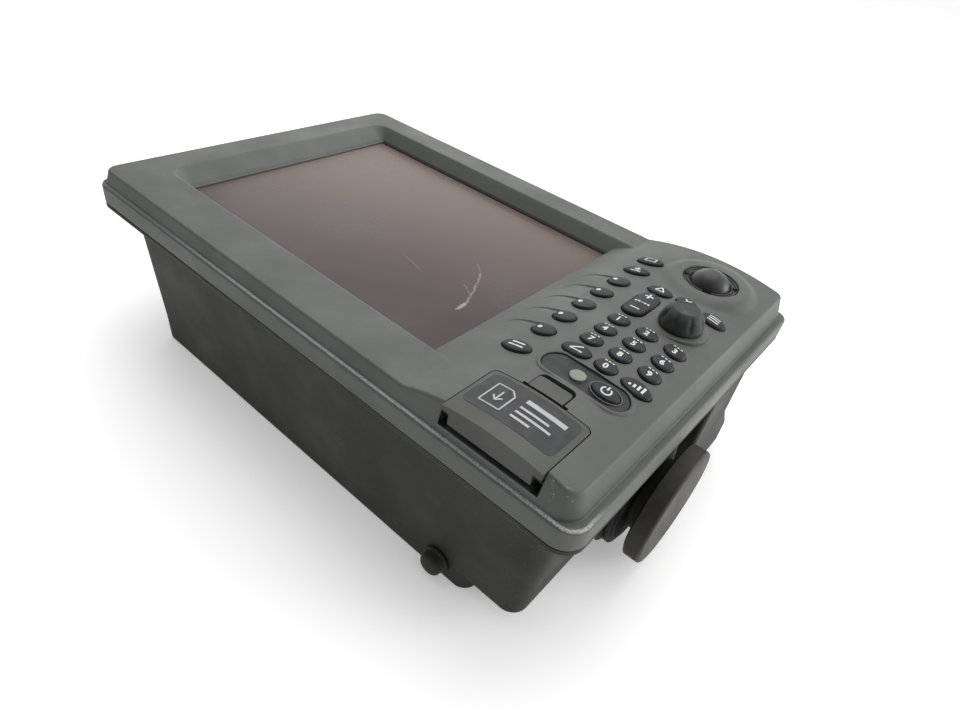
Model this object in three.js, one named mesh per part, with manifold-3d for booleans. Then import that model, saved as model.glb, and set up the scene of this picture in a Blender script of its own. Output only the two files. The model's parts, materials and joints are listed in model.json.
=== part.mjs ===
// Chartplotter display: a sealed marine instrument with a 10.4 inch screen, a keypad and a card lid.
// It lies on its back. X runs to the screen's right, Y to the screen's top, Z out of the face.
// Inside the group, lengths are in millimetres from the lower left corner of the flat face.
// The group is then moved so that the origin is the bottom centre of the whole object.

import * as THREE from 'three';
import * as BufferGeometryUtils from 'three/addons/utils/BufferGeometryUtils.js';
import Module from 'manifold-3d';

const wasm = await Module();
wasm.setup();

// Driving dimensions.
const faceWidth = 346.8;
const faceHeight = 224.2;
const flangeLip = 4.1;
const flangeRight = 353.2;
const ledgeZ = -8.2;
const seamZ = -20.4;
const lipBottomZ = -23.7;
const wallThickness = 3;
const runGap = 0.35;

// The keypad stands on a shallow barrel that runs the whole height of the face.
const bulgeRadius = 154.5;
const bulgeX = 308;
const bulgePeak = 8.76;

const windowBox = { x0: 35, y0: 37.1, x1: 245, y1: 194.7 };
const recessTop = { x0: 21, y0: 29, x1: 262, y1: 204 };
const recessZ = -8.3;
const glassTopZ = -9;

const rearTopBox = { x0: 31, y0: -1, x1: 344, y1: 225.2 };
const rearMidBox = { x0: 37.6, y0: 2.5, x1: 337.5, y1: 221.7 };
const rearDeepBox = { x0: 38.6, y0: 2.8, x1: 309, y1: 221.4 };
const shallowZ = -90.5;
const rearZ = -103;

const knobAxis = { y: 94.5, z: -63.8 };
const rightSeatX = 340.6;
const leftSeatX = 35.6;
const mountKnobRadius = 33.4;
const knobFaceReach = 24.2;

const keyRise = 1.5;
const keyFootZ = -3.2;
const keyFootHeight = 1.4;
const matTopZ = -5;
const boardTopZ = -6.5;

const trackball = { x: 312.2, y: 188.3, z: 3.8, radius: 12.5 };
const enterKnob = { x: 320.5, y: 132.8, bottomZ: 9.4, topZ: 19.3, baseRadius: 11.6, topRadius: 6.9 };
const lid = { x0: 279.9, x1: 330.9, y1: 33.7, hingeY: 3.2, hingeZ: -0.2, pinRadius: 1 };
const pill = { x: 311.5, y: 57.5, width: 45, height: 15.6 };
const ventPlug = { x: 289.2, z: -92.5, radius: 6.2, seatY: 1.8, tipY: -6.8 };

const paint = {
  body: { color: 0x686d67, roughness: 0.62, metalness: 0 },
  rear: { color: 0x44453f, roughness: 0.66, metalness: 0 },
  key: { color: 0x24262a, roughness: 0.6, metalness: 0 },
  rubber: { color: 0x1c1d1e, roughness: 0.85, metalness: 0 },
  glass: { color: 0x4a3a34, roughness: 0.12, metalness: 0 },
  gloss: { color: 0x35373a, roughness: 0.25, metalness: 0 },
  lid: { color: 0x5e6156, roughness: 0.55, metalness: 0 },
  knob: { color: 0x6a6a5e, roughness: 0.6, metalness: 0 },
  ball: { color: 0x2c2b2d, roughness: 0.3, metalness: 0 },
  lens: { color: 0x9a9c90, roughness: 0.35, metalness: 0 },
  board: { color: 0x1f5a35, roughness: 0.5, metalness: 0 },
  metal: { color: 0xa8abad, roughness: 0.4, metalness: 0.9 },
};

// --- Helpers -------------------------------------------------------------------------------

function solid(geometry) {
  const bare = geometry.clone();
  bare.deleteAttribute('normal');
  bare.deleteAttribute('uv');
  const merged = BufferGeometryUtils.mergeVertices(bare, 1e-4);
  return new wasm.Manifold(new wasm.Mesh({
    numProp: 3,
    vertProperties: new Float32Array(merged.attributes.position.array),
    triVerts: new Uint32Array(merged.index.array),
  }));
}

function geometryOf(manifold) {
  const mesh = manifold.getMesh();
  const geometry = new THREE.BufferGeometry();
  geometry.setAttribute('position', new THREE.BufferAttribute(mesh.vertProperties, 3));
  geometry.setIndex(new THREE.BufferAttribute(mesh.triVerts, 1));
  geometry.computeVertexNormals();
  return geometry;
}

function roundedOutline(box, radius, steps = 4) {
  const corners = [
    [box.x1 - radius, box.y0 + radius, -Math.PI / 2],
    [box.x1 - radius, box.y1 - radius, 0],
    [box.x0 + radius, box.y1 - radius, Math.PI / 2],
    [box.x0 + radius, box.y0 + radius, Math.PI],
  ];
  const points = [];
  for (const [x, y, start] of corners) {
    for (let i = 0; i <= steps; i++) {
      const angle = start + (Math.PI / 2) * (i / steps);
      points.push(new THREE.Vector2(x + radius * Math.cos(angle), y + radius * Math.sin(angle)));
    }
  }
  return points;
}

function prism(points, z0, z1) {
  const geometry = new THREE.ExtrudeGeometry(new THREE.Shape(points), { depth: z1 - z0, bevelEnabled: false });
  return solid(geometry.translate(0, 0, z0));
}

function block(x0, x1, y0, y1, z0, z1) {
  const geometry = new THREE.BoxGeometry(x1 - x0, y1 - y0, z1 - z0);
  return solid(geometry.translate((x0 + x1) / 2, (y0 + y1) / 2, (z0 + z1) / 2));
}

// A loft through sections that all have the same number of points, each at its own height.
function loft(sections) {
  const count = sections[0].points.length;
  const positions = [];
  for (const { points, z } of sections) {
    for (const p of points) positions.push(p.x, p.y, z);
  }
  const index = [];
  for (let s = 0; s + 1 < sections.length; s++) {
    for (let i = 0; i < count; i++) {
      const a = s * count + i;
      const b = s * count + ((i + 1) % count);
      index.push(a, b, a + count, b, b + count, a + count);
    }
  }
  const last = (sections.length - 1) * count;
  for (const [p, q, r] of THREE.ShapeUtils.triangulateShape(sections[0].points, [])) index.push(p, r, q);
  for (const [p, q, r] of THREE.ShapeUtils.triangulateShape(sections.at(-1).points, [])) {
    index.push(last + p, last + q, last + r);
  }
  const geometry = new THREE.BufferGeometry();
  geometry.setAttribute('position', new THREE.Float32BufferAttribute(positions, 3));
  geometry.setIndex(index);
  return solid(geometry);
}

function ellipseOutline(x, y, width, height, steps = 20) {
  const points = [];
  for (let i = 0; i < steps; i++) {
    const angle = (2 * Math.PI * i) / steps;
    points.push(new THREE.Vector2(x + (width / 2) * Math.cos(angle), y + (height / 2) * Math.sin(angle)));
  }
  return points;
}

function roundBar(axis, centre, radius, from, to, steps = 24) {
  const geometry = new THREE.CylinderGeometry(radius, radius, to - from, steps);
  const middle = (from + to) / 2;
  if (axis === 'x') geometry.rotateZ(-Math.PI / 2).translate(middle, centre.y, centre.z);
  if (axis === 'y') geometry.translate(centre.x, middle, centre.z);
  if (axis === 'z') geometry.rotateX(Math.PI / 2).translate(centre.x, centre.y, middle);
  return solid(geometry);
}

// A turned solid about Z: profile points are [radius, z], from the axis back to the axis.
function turned(profile, steps = 32) {
  const points = profile.map(([r, z]) => new THREE.Vector2(r, z));
  return solid(new THREE.LatheGeometry(points, steps).rotateX(Math.PI / 2));
}

function bulgeHeight(x, offset = 0) {
  const radius = bulgeRadius + offset;
  return bulgePeak - bulgeRadius + Math.sqrt(radius * radius - (x - bulgeX) ** 2);
}

// Everything under the barrel surface, from x0 to x1, down to a flat floor.
function underBulge(x0, x1, y0, y1, floorZ, offset = 0, steps = 28) {
  const points = [new THREE.Vector2(x0, floorZ), new THREE.Vector2(x1, floorZ)];
  for (let i = steps; i >= 0; i--) {
    const x = x0 + ((x1 - x0) * i) / steps;
    points.push(new THREE.Vector2(x, bulgeHeight(x, offset)));
  }
  const geometry = new THREE.ExtrudeGeometry(new THREE.Shape(points), { depth: y1 - y0, bevelEnabled: false });
  return solid(geometry.rotateX(Math.PI / 2).translate(0, y1, 0));
}

const grow = (box, by) => ({ x0: box.x0 - by, y0: box.y0 - by, x1: box.x1 + by, y1: box.y1 + by });

// --- Keys ----------------------------------------------------------------------------------

const keyColumns = [297.2, 313.2, 329.2];
const keyRows = [110.7, 97.8, 84.9, 72];
const keys = [
  { name: 'key_display', x: 276, y: 185.1, width: 16, height: 9.8 },
  { name: 'key_save', x: 276.2, y: 167.9, width: 15.6, height: 9.8 },
  { name: 'key_hide', x: 275.2, y: 55.4, width: 15.6, height: 9.8 },
  { name: 'key_alarm', x: 297.9, y: 153.8, width: 14.2, height: 9.8 },
  { name: 'key_clear', x: 313.6, y: 154.6, width: 12.6, height: 9.4 },
  { name: 'key_menu', x: 330.2, y: 153.2, width: 14.2, height: 9.8 },
  { name: 'key_bearing', x: keyColumns[0], y: keyRows[3], width: 15, height: 10.2 },
  { name: 'key_0', x: keyColumns[1], y: keyRows[3], width: 11.4, height: 10.2 },
  { name: 'key_gain', x: 330, y: 71.4, width: 15.6, height: 10 },
];
for (let i = 0; i < 5; i++) {
  keys.push({ name: `key_soft_${i + 1}`, x: 275.7, y: 148.4 - 18 * i, width: 12.6, height: 11 });
}
for (let i = 0; i < 9; i++) {
  const x = keyColumns[i % 3];
  keys.push({ name: `key_${i + 1}`, x, y: keyRows[Math.floor(i / 3)], width: 11.4, height: 10.2 });
}
const powerKey = { name: 'key_power', x: 322.4, y: 57.5, width: 14.2, height: 9.6 };
const rocker = { x: 297.4, y: 133.2, width: 12.3, height: 27.6, radius: 6 };

function keySolid(key, rise = keyRise) {
  const cap = prism(ellipseOutline(key.x, key.y, key.width, key.height), keyFootZ, 20);
  const under = underBulge(key.x - 10, key.x + 10, key.y - 10, key.y + 10, keyFootZ - 1, rise, 4);
  const footOutline = ellipseOutline(key.x, key.y, key.width + 1.4, key.height + 1.4);
  const foot = prism(footOutline, keyFootZ, keyFootZ + keyFootHeight);
  return cap.intersect(under).add(foot);
}

function rockerOutline(extra) {
  const halfWidth = rocker.width / 2 + extra;
  const halfHeight = rocker.height / 2 + extra;
  const box = {
    x0: rocker.x - halfWidth,
    x1: rocker.x + halfWidth,
    y0: rocker.y - halfHeight,
    y1: rocker.y + halfHeight,
  };
  return roundedOutline(box, rocker.radius + extra);
}

function rockerSolid() {
  const cap = prism(rockerOutline(0), keyFootZ + 1.2, 20);
  return cap.intersect(underBulge(285, 310, 110, 155, keyFootZ - 1, keyRise, 6));
}

function pillOutline(extra) {
  const box = {
    x0: pill.x - pill.width / 2 - extra,
    x1: pill.x + pill.width / 2 + extra,
    y0: pill.y - pill.height / 2 - extra,
    y1: pill.y + pill.height / 2 + extra,
  };
  return roundedOutline(box, pill.height / 2 + extra - 0.01, 8);
}

// --- Front -----------------------------------------------------------------------------------

const flangeBox = { x0: -flangeLip, y0: -flangeLip, x1: flangeRight, y1: faceHeight + flangeLip };

// The face with its barrel: side walls lean outwards by 2 mm from the face down to the ledge.
function faceBody() {
  const slope = 2 / 8.2;
  const footBox = { x0: -2, y0: -2, x1: faceWidth + 3.6, y1: faceHeight + 2 };
  const headZ = 14;
  const inward = slope * headZ;
  const headBox = { x0: inward, y0: inward, x1: faceWidth - 4, y1: faceHeight - inward };
  const faceLevel = { x0: 0, y0: 0, x1: faceWidth, y1: faceHeight };
  const walls = loft([
    { points: roundedOutline(footBox, 9, 5), z: ledgeZ - 0.5 },
    { points: roundedOutline(faceLevel, 8, 5), z: 0 },
    { points: roundedOutline(headBox, 7, 5), z: headZ },
  ]);
  const flat = block(-30, 400, -30, 260, -30, 0);
  return walls.intersect(flat.add(underBulge(255, 352, -30, 260, -31)));
}

function mound() {
  const top = bulgePeak + 1.6;
  const profile = [[0, -4], [26, -4], [26, 7.2], [23.4, top], [0, top]];
  return turned(profile, 36).translate(trackball.x, trackball.y, 0);
}

function screenRecess() {
  const through = prism(roundedOutline(windowBox, 1, 2), -30, recessZ + 0.2);
  const slope = loft([
    { points: roundedOutline(grow(windowBox, 0.2), 1, 3), z: recessZ },
    { points: roundedOutline(recessTop, 10, 3), z: 0.01 },
    { points: roundedOutline(recessTop, 10, 3), z: 6 },
  ]);
  const leftPart = slope.intersect(block(0, windowBox.x1, 0, 230, -20, 10));
  const overBarrel = slope.subtract(underBulge(230, 300, -10, 240, -30));
  return through.add(leftPart).add(overBarrel);
}

function bezelCavity() {
  const flat = block(1, 252, 1, faceHeight - 1, seamZ - 1, -wallThickness);
  const tub = loft([
    { points: roundedOutline(grow(windowBox, 2.6), 2, 3), z: recessZ - wallThickness },
    { points: roundedOutline(grow(recessTop, 3), 10, 3), z: 0.01 },
  ]);
  const barrel = underBulge(249, faceWidth - 3.5, 3.2, faceHeight - 3.2, seamZ - 1, -wallThickness);
  const lidBlock = block(276, 337, -5, 37, -8.6, 20).add(block(292, 318, 30, 50.5, -8.6, 20));
  const ribLeft = block(246, 249.5, 30, 203, recessZ - wallThickness, 0);
  return flat.add(barrel).subtract(tub).subtract(lidBlock).subtract(ribLeft);
}

function lidPockets() {
  const { x0, x1, y1 } = lid;
  const lidPocket = block(x0 - 0.5, x1 + 0.5, -9, y1 + 0.5, -5, 20);
  const latchPocket = block(296.3, 315.3, y1 - 1, 46.6, 3, 20);
  const cardWell = block(287, 325, 8, 30, -30, 0);
  const pinHole = roundBar('x', { y: lid.hingeY, z: lid.hingeZ }, lid.pinRadius + 0.15, 277.2, 334, 12);
  return lidPocket.add(latchPocket).add(cardWell).add(pinHole);
}

function frontBezel() {
  let body = prism(roundedOutline(flangeBox, 10, 6), seamZ, ledgeZ);
  body = body.add(faceBody()).add(mound());
  body = body.subtract(bezelCavity()).subtract(screenRecess());
  for (const key of keys) {
    const hole = ellipseOutline(key.x, key.y, key.width + 2 * runGap, key.height + 2 * runGap);
    body = body.subtract(prism(hole, -2, 20));
  }
  body = body.subtract(prism(rockerOutline(0.6), -2, 20));
  body = body.subtract(prism(pillOutline(0.3), -4, 20));
  body = body.subtract(roundBar('z', trackball, 15.9, -6, 20, 36));
  body = body.subtract(roundBar('z', enterKnob, 4, -6, 20, 20));
  return body.subtract(lidPockets());
}

// The dark panel round the power key: a plate that follows the barrel, with a hole for the key.
function powerPanel() {
  const plate = prism(pillOutline(0), -1.5, 20).intersect(underBulge(285, 340, 40, 75, -9, -0.2, 12));
  const opening = ellipseOutline(powerKey.x, powerKey.y, powerKey.width + 0.8, powerKey.height + 0.8);
  const lensHole = roundBar('z', { x: 307.6, y: 57.5 }, 4.3, -10, 20);
  return plate.subtract(prism(opening, -3, 20)).subtract(lensHole);
}

function lightLens() {
  const rod = roundBar('z', { x: 307.6, y: 57.5 }, 4, -1.5, 20);
  return rod.intersect(underBulge(300, 315, 50, 65, -9, -0.1, 4));
}

// --- Card lid ----------------------------------------------------------------------------------

function cardLid() {
  const { x0, x1, y1, hingeY, hingeZ, pinRadius } = lid;
  const shell = underBulge(x0, x1, -0.4, y1, -2, 0, 14).subtract(underBulge(x0 - 1, x1 + 1, 2, y1 + 1, -3, -2.4, 14));
  const corners = block(x0 - 1, x0 + 4, -1, 2.1, -3, 3.6).add(block(x1 - 4, x1 + 1, -1, 2.1, -3, 3.6));
  let body = shell.subtract(corners);
  for (const x of [x0 + 4.6, x1 - 10.6]) {
    body = body.add(block(x, x + 6, 1.6, hingeY + 2, hingeZ - 1.8, hingeZ + 1.8));
  }
  return body.subtract(roundBar('x', { y: hingeY, z: hingeZ }, pinRadius + 0.2, 270, 340, 12));
}

function lidLabel() {
  const outline = roundedOutline({ x0: 282, y0: 8, x1: 328.2, y1: 32 }, 3.4);
  const band = underBulge(280, 331, 0, 34, -4, 0.75, 12).subtract(underBulge(279, 332, -1, 35, -5, 0.3, 12));
  return prism(outline, 0, 20).intersect(band);
}

function lidPin() {
  return roundBar('x', { y: lid.hingeY, z: lid.hingeZ }, lid.pinRadius, 277.8, 333.4, 12);
}

function lidLatch() {
  const tab = underBulge(296.9, 314.7, 34.6, 44.2, 3.4, 0.5, 6);
  return tab.subtract(block(299.6, 312, 36.2, 42.8, 2, 6.4));
}

function cardSlot() {
  const body = block(287.4, 324.6, 8.4, 29.6, -42, -5.4);
  return body.subtract(block(290, 322, 15.4, 21.4, -38, 0));
}

// --- Screen and electronics ----------------------------------------------------------------------

function screenGlass() {
  return prism(roundedOutline(grow(windowBox, -0.4), 0.8, 2), glassTopZ - 3, glassTopZ);
}

function screenGasket() {
  const ring = prism(roundedOutline(grow(windowBox, 4.5), 3, 3), glassTopZ - 4.6, glassTopZ - 3.3);
  return ring.subtract(prism(roundedOutline(grow(windowBox, -3), 2, 3), -30, 0));
}

function lcdModule() {
  return prism(roundedOutline({ x0: 27, y0: 29, x1: 253, y1: 203 }, 2, 2), -20.2, -13.9);
}

function keyBoardOutline() {
  const points = [[263, 52], [341, 52], [341, 161], [289, 161], [289, 194], [263, 194]];
  return points.map(([x, y]) => new THREE.Vector2(x, y));
}

function keyMat() {
  const mat = prism(keyBoardOutline(), matTopZ - 1.1, matTopZ);
  return mat.subtract(block(312.7, 328.3, 125, 140.6, -20, 20));
}

function keyBoard() {
  return prism(keyBoardOutline(), boardTopZ - 1.6, boardTopZ);
}

function knobEncoder() {
  const { x, y } = enterKnob;
  const body = block(x - 7, x + 7, y - 7, y + 7, boardTopZ + 0.3, -0.4).add(roundBar('z', enterKnob, 3.8, -1, 4.4, 20));
  return body.subtract(roundBar('z', { x, y }, 2.3, -3.4, 20, 16));
}

function chassisPlate() {
  let plate = block(46, 330, 16, 208, -30, -28.5);
  plate = plate.subtract(prism(roundedOutline({ x0: 90, y0: 60, x1: 240, y1: 160 }, 8), -40, 0));
  return plate.subtract(block(282, 331, 15, 40, -40, 0));
}

function mainBoard() {
  return block(58, 276, 30, 194, -48, -46.4);
}

function powerBoard() {
  return block(70, 180, 40, 150, -76, -74.4);
}

// --- Trackball ---------------------------------------------------------------------------------

function ballSolid() {
  return solid(new THREE.SphereGeometry(trackball.radius, 20, 12).rotateX(Math.PI / 2));
}

function ballRing() {
  const outer = turned([[0, 7.2], [15.5, 7.2], [15.5, 9.3], [0, 9.3]], 36);
  const hole = turned([[0, 6.5], [12.42, 6.5], [11.9, 10], [0, 10]], 36);
  return outer.subtract(hole);
}

function ballSocket() {
  const outer = turned([[0, -15], [21, -15], [21, 3.2], [15.6, 3.2], [15.6, 6.9], [0, 6.9]], 28);
  const inner = turned([[0, -12.6], [18.9, -12.6], [18.9, 1.2], [13.2, 1.2], [13.2, 8], [0, 8]], 28);
  return outer.subtract(inner);
}

// The two rollers touch the ball below its middle.
const rollerRadius = 2.4;
const rollerDrop = 6;
const rollerReach = Math.sqrt((trackball.radius + rollerRadius + 0.12) ** 2 - rollerDrop ** 2);

function rollerSolid(axis) {
  return roundBar(axis, { x: 0, y: 0, z: 0 }, rollerRadius, -4.5, 4.5, 16);
}

// --- Enter knob ----------------------------------------------------------------------------------

function knobShaft() {
  const shaft = roundBar('z', { x: 0, y: 0 }, 2, -2.6, 16.4, 16);
  return shaft.add(roundBar('z', { x: 0, y: 0 }, 3.2, 4.9, 6.4, 16));
}

// A tapered grip with shallow finger flutes down its side.
function enterGrip() {
  const { bottomZ, topZ, baseRadius, topRadius } = enterKnob;
  const profile = [[0, bottomZ], [baseRadius, bottomZ], [baseRadius, bottomZ + 1.4], [topRadius + 3.4, topZ - 3.1],
    [topRadius + 2.2, topZ - 1.6], [topRadius, topZ], [0, topZ]];
  let grip = turned(profile, 36);
  const flutes = 9;
  for (let i = 0; i < flutes; i++) {
    const angle = (2 * Math.PI * i) / flutes;
    const reach = baseRadius + 1.9;
    const flute = roundBar('z', { x: reach * Math.cos(angle), y: reach * Math.sin(angle) }, 2.6, bottomZ + 3, 30, 10);
    grip = grip.subtract(flute);
  }
  return grip.subtract(roundBar('z', { x: 0, y: 0 }, 2.3, 0, 16.8, 16));
}

// --- Rear ----------------------------------------------------------------------------------------

// A shoulder on each side wall above the knob: four outlines from the lip to the back.
function shoulder() {
  const section = (wallTop, edgeTop, z) => ({
    points: [[333, 134.5], [352.4, 137], [352.4, edgeTop], [333, wallTop]].map(([x, y]) => new THREE.Vector2(x, y)),
    z,
  });
  return loft([section(220, 206, -99.5), section(218, 203, -80), section(206, 182, -58), section(206, 180, -22)]);
}

// The same shape on the left side, mirrored about the middle of the rear box.
function mirrored(manifold) {
  return manifold.mirror([1, 0, 0]).translate(leftSeatX + rightSeatX, 0, 0);
}

function rearShell(inset, topZ) {
  const shrink = (box, radius) => roundedOutline(grow(box, -inset), Math.max(radius - inset, 2), 5);
  const upper = loft([
    { points: shrink(rearMidBox, 9), z: shallowZ + inset },
    { points: shrink(rearTopBox, 10), z: topZ },
  ]);
  const deep = loft([
    { points: shrink(rearDeepBox, 8), z: rearZ + inset },
    { points: shrink({ ...rearDeepBox, x0: rearMidBox.x0, y0: rearMidBox.y0, y1: rearMidBox.y1 }, 8), z: shallowZ + inset + 4 },
  ]);
  return upper.add(deep);
}

const screwSpots = [[54, 15], [54, 209], [298, 15], [298, 209]];
const connectors = [
  { name: 'power_connector', y: 32, radius: 9, bore: 6.6 },
  { name: 'data_connector', y: 160, radius: 8, bore: 5.8 },
  { name: 'network_connector', y: 192, radius: 8, bore: 5.8 },
];
const connectorX = 323.5;

function rearHousing() {
  const lip = prism(roundedOutline(flangeBox, 10, 6), lipBottomZ, seamZ - 0.3);
  const seat = roundBar('x', knobAxis, 36.5, 330, rightSeatX, 40);
  const side = shoulder().add(seat);
  let body = lip.add(rearShell(0, seamZ - 1)).add(side).add(mirrored(side));
  body = body.subtract(rearShell(wallThickness, seamZ + 1));
  const nut = roundBar('x', knobAxis, 10, 322, 339, 20);
  body = body.add(nut).add(mirrored(nut));
  for (const [x, y] of screwSpots) body = body.add(roundBar('z', { x, y }, 6, rearZ + 0.5, -62, 16));
  const bore = roundBar('x', knobAxis, 5.4, 318, 350, 20).add(roundBar('x', knobAxis, 36.5, rightSeatX, 360, 40));
  body = body.subtract(bore).subtract(mirrored(bore));
  for (const [x, y] of screwSpots) {
    body = body.subtract(roundBar('z', { x, y }, 2.3, -110, -66, 12));
    body = body.subtract(roundBar('z', { x, y }, 4, -110, rearZ + 3.4, 16));
  }
  for (const { y, radius } of connectors) {
    body = body.subtract(roundBar('z', { x: connectorX, y }, radius - 1.6, -100, -80, 20));
  }
  body = body.subtract(roundBar('y', { x: ventPlug.x, z: ventPlug.z }, 3.3, -5, 12, 16));
  const groove = gasketRing(0.4);
  return body.subtract(groove);
}

function gasketRing(extra) {
  const outer = prism(roundedOutline(grow(flangeBox, -1.4 + extra), 8.6, 5), seamZ - 1.9 - extra, seamZ - 0.25 + extra);
  return outer.subtract(prism(roundedOutline(grow(flangeBox, -3.6 - extra), 6.4, 5), -40, 0));
}

function plainGasket() {
  return gasketRing(0);
}

function mountKnob() {
  const back = 14.2;
  const profile = [[0, 7.6], [20, 7.6], [22, back], [mountKnobRadius, back], [mountKnobRadius, knobFaceReach - 1.8],
    [mountKnobRadius - 1.6, knobFaceReach - 0.3], [0, knobFaceReach]];
  const stud = turned([[0, -24], [5, -24], [5, 8], [0, 8]], 20);
  return turned(profile, 44).add(stud);
}

function knobWasher() {
  const disc = turned([[0, 0.4], [34, 0.4], [34, 5.6], [30, 7.2], [0, 7.2]], 44);
  return disc.subtract(turned([[0, -1], [5.6, -1], [5.6, 9], [0, 9]], 20));
}

function ventPlugSolid() {
  const { radius, tipY } = ventPlug;
  const profile = [[0, -8], [3, -8], [3, 0], [radius + 1.4, 0], [radius + 1.4, 1.4], [radius, 1.8],
    [radius, 3.4], [radius * 0.8, -tipY - 0.9], [radius * 0.4, -tipY], [0, -tipY]];
  return turned(profile, 24);
}

function connectorSolid({ radius, bore }) {
  const body = turned([[0, -12], [radius - 2, -12], [radius - 2, 0.3], [radius, 0.3], [radius, 11], [0, 11]], 24);
  return body.subtract(turned([[0, 2], [bore, 2], [bore, 13], [0, 13]], 24));
}

// --- Assembly ------------------------------------------------------------------------------------

const model = new THREE.Group();

function addMesh(name, manifold, finish, parent = model) {
  const mesh = new THREE.Mesh(geometryOf(manifold), new THREE.MeshStandardMaterial(finish));
  mesh.name = name;
  parent.add(mesh);
  return mesh;
}

addMesh('front_bezel', frontBezel(), paint.body);
addMesh('rear_housing', rearHousing(), paint.rear);
addMesh('case_gasket', plainGasket(), paint.rubber);
addMesh('screen_glass', screenGlass(), paint.glass);
addMesh('screen_gasket', screenGasket(), paint.rubber);
addMesh('lcd_module', lcdModule(), paint.metal);
addMesh('chassis_plate', chassisPlate(), paint.metal);
addMesh('main_board', mainBoard(), paint.board);
addMesh('power_board', powerBoard(), paint.board);
addMesh('key_board', keyBoard(), paint.board);
addMesh('key_mat', keyMat(), paint.rubber);

for (const key of keys) addMesh(key.name, keySolid(key), paint.key);
addMesh('range_rocker', rockerSolid(), paint.key);
addMesh('power_panel', powerPanel(), paint.gloss);
addMesh('key_power', keySolid(powerKey, 0.9), paint.key);
addMesh('light_lens', lightLens(), paint.lens);

addMesh('card_lid', cardLid(), paint.lid);
addMesh('lid_label', lidLabel(), paint.gloss);
addMesh('lid_pin', lidPin(), paint.metal);
addMesh('lid_latch', lidLatch(), paint.lid);
addMesh('card_slot', cardSlot(), paint.key);

const rollerZ = trackball.z - rollerDrop;
const ballGroup = new THREE.Group();
ballGroup.position.set(trackball.x, trackball.y, 0);
model.add(ballGroup);
addMesh('trackball', ballSolid(), paint.ball, ballGroup).position.z = trackball.z;
addMesh('trackball_ring', ballRing(), paint.key, ballGroup);
addMesh('trackball_socket', ballSocket(), paint.key, ballGroup);
addMesh('roller_x', rollerSolid('x'), paint.metal, ballGroup).position.set(0, -rollerReach, rollerZ);
addMesh('roller_y', rollerSolid('y'), paint.metal, ballGroup).position.set(-rollerReach, 0, rollerZ);

const enterGroup = new THREE.Group();
enterGroup.position.set(enterKnob.x, enterKnob.y, 0);
model.add(enterGroup);
addMesh('knob_shaft', knobShaft(), paint.metal, enterGroup);
addMesh('enter_knob', enterGrip(), paint.rubber, enterGroup);
addMesh('knob_encoder', knobEncoder(), paint.metal);

for (const side of [{ name: 'right', x: rightSeatX, turn: 1 }, { name: 'left', x: leftSeatX, turn: -1 }]) {
  const stack = new THREE.Group();
  stack.position.set(side.x, knobAxis.y, knobAxis.z);
  stack.rotation.y = (side.turn * Math.PI) / 2;
  model.add(stack);
  addMesh(`${side.name}_knob`, mountKnob(), paint.knob, stack);
  addMesh(`${side.name}_washer`, knobWasher(), paint.rubber, stack);
}

const vent = addMesh('vent_plug', ventPlugSolid(), paint.rear);
vent.position.set(ventPlug.x, ventPlug.seatY, ventPlug.z);
vent.rotation.x = Math.PI / 2;

for (const connector of connectors) {
  const socket = addMesh(connector.name, connectorSolid(connector), paint.metal);
  socket.position.set(connectorX, connector.y, shallowZ);
  socket.rotation.x = Math.PI;
}

// Move the origin to the bottom centre of the whole object.
const rightEdge = rightSeatX + knobFaceReach;
const bottomEdge = ventPlug.seatY + ventPlug.tipY;
model.position.set(-(rightEdge - flangeLip) / 2, -(bottomEdge + faceHeight + flangeLip) / 2, -rearZ);

export default model;
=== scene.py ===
import json
import math

import bmesh
import bpy
from mathutils import Matrix, Vector


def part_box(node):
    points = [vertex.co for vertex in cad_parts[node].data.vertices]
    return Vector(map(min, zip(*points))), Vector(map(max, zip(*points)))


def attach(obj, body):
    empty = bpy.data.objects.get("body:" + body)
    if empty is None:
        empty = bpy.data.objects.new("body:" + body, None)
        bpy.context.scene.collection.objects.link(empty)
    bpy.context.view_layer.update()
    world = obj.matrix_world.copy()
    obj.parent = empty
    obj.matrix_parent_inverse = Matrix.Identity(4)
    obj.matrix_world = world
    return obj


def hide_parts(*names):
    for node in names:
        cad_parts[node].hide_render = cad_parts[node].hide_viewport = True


# Chartplotter display, lying on its back. Shapes are drawn in millimetres from the lower left
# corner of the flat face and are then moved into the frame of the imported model, in metres.

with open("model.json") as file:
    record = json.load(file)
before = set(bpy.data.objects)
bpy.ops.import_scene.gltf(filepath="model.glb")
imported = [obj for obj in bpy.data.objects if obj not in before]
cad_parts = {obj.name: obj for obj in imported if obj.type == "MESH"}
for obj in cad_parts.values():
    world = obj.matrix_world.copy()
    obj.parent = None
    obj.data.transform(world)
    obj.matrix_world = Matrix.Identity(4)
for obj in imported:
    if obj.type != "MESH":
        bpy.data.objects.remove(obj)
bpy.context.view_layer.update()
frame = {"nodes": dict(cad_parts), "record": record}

case = {"lip": 4.1, "seam": -20.4, "ledge": -8.2, "lipBottom": -23.7}
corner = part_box("front_bezel")[0]
faceOrigin = corner + Vector((case["lip"], case["lip"], -case["seam"])) * 0.001
toRow = Matrix.Translation(faceOrigin) @ Matrix.Scale(0.001, 4)

barrel = {"radius": 154.5, "x": 308, "peak": 8.76}   # the raised strip that carries the keys
barrelStart = barrel["x"] - math.sqrt(barrel["radius"] ** 2 - (barrel["radius"] - barrel["peak"]) ** 2)


# Nodes for the materials.

def node(tree, kind, **values):
    item = tree.nodes.new(kind)
    for key, value in values.items():
        setattr(item, key, value)
    return item


def plug(tree, socket, value):
    if isinstance(value, bpy.types.NodeSocket):
        tree.links.new(value, socket)
    else:
        socket.default_value = value


def maths(tree, how, *values):
    item = node(tree, "ShaderNodeMath", operation=how)
    for socket, value in zip(item.inputs, values):
        plug(tree, socket, value)
    return item.outputs[0]


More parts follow.
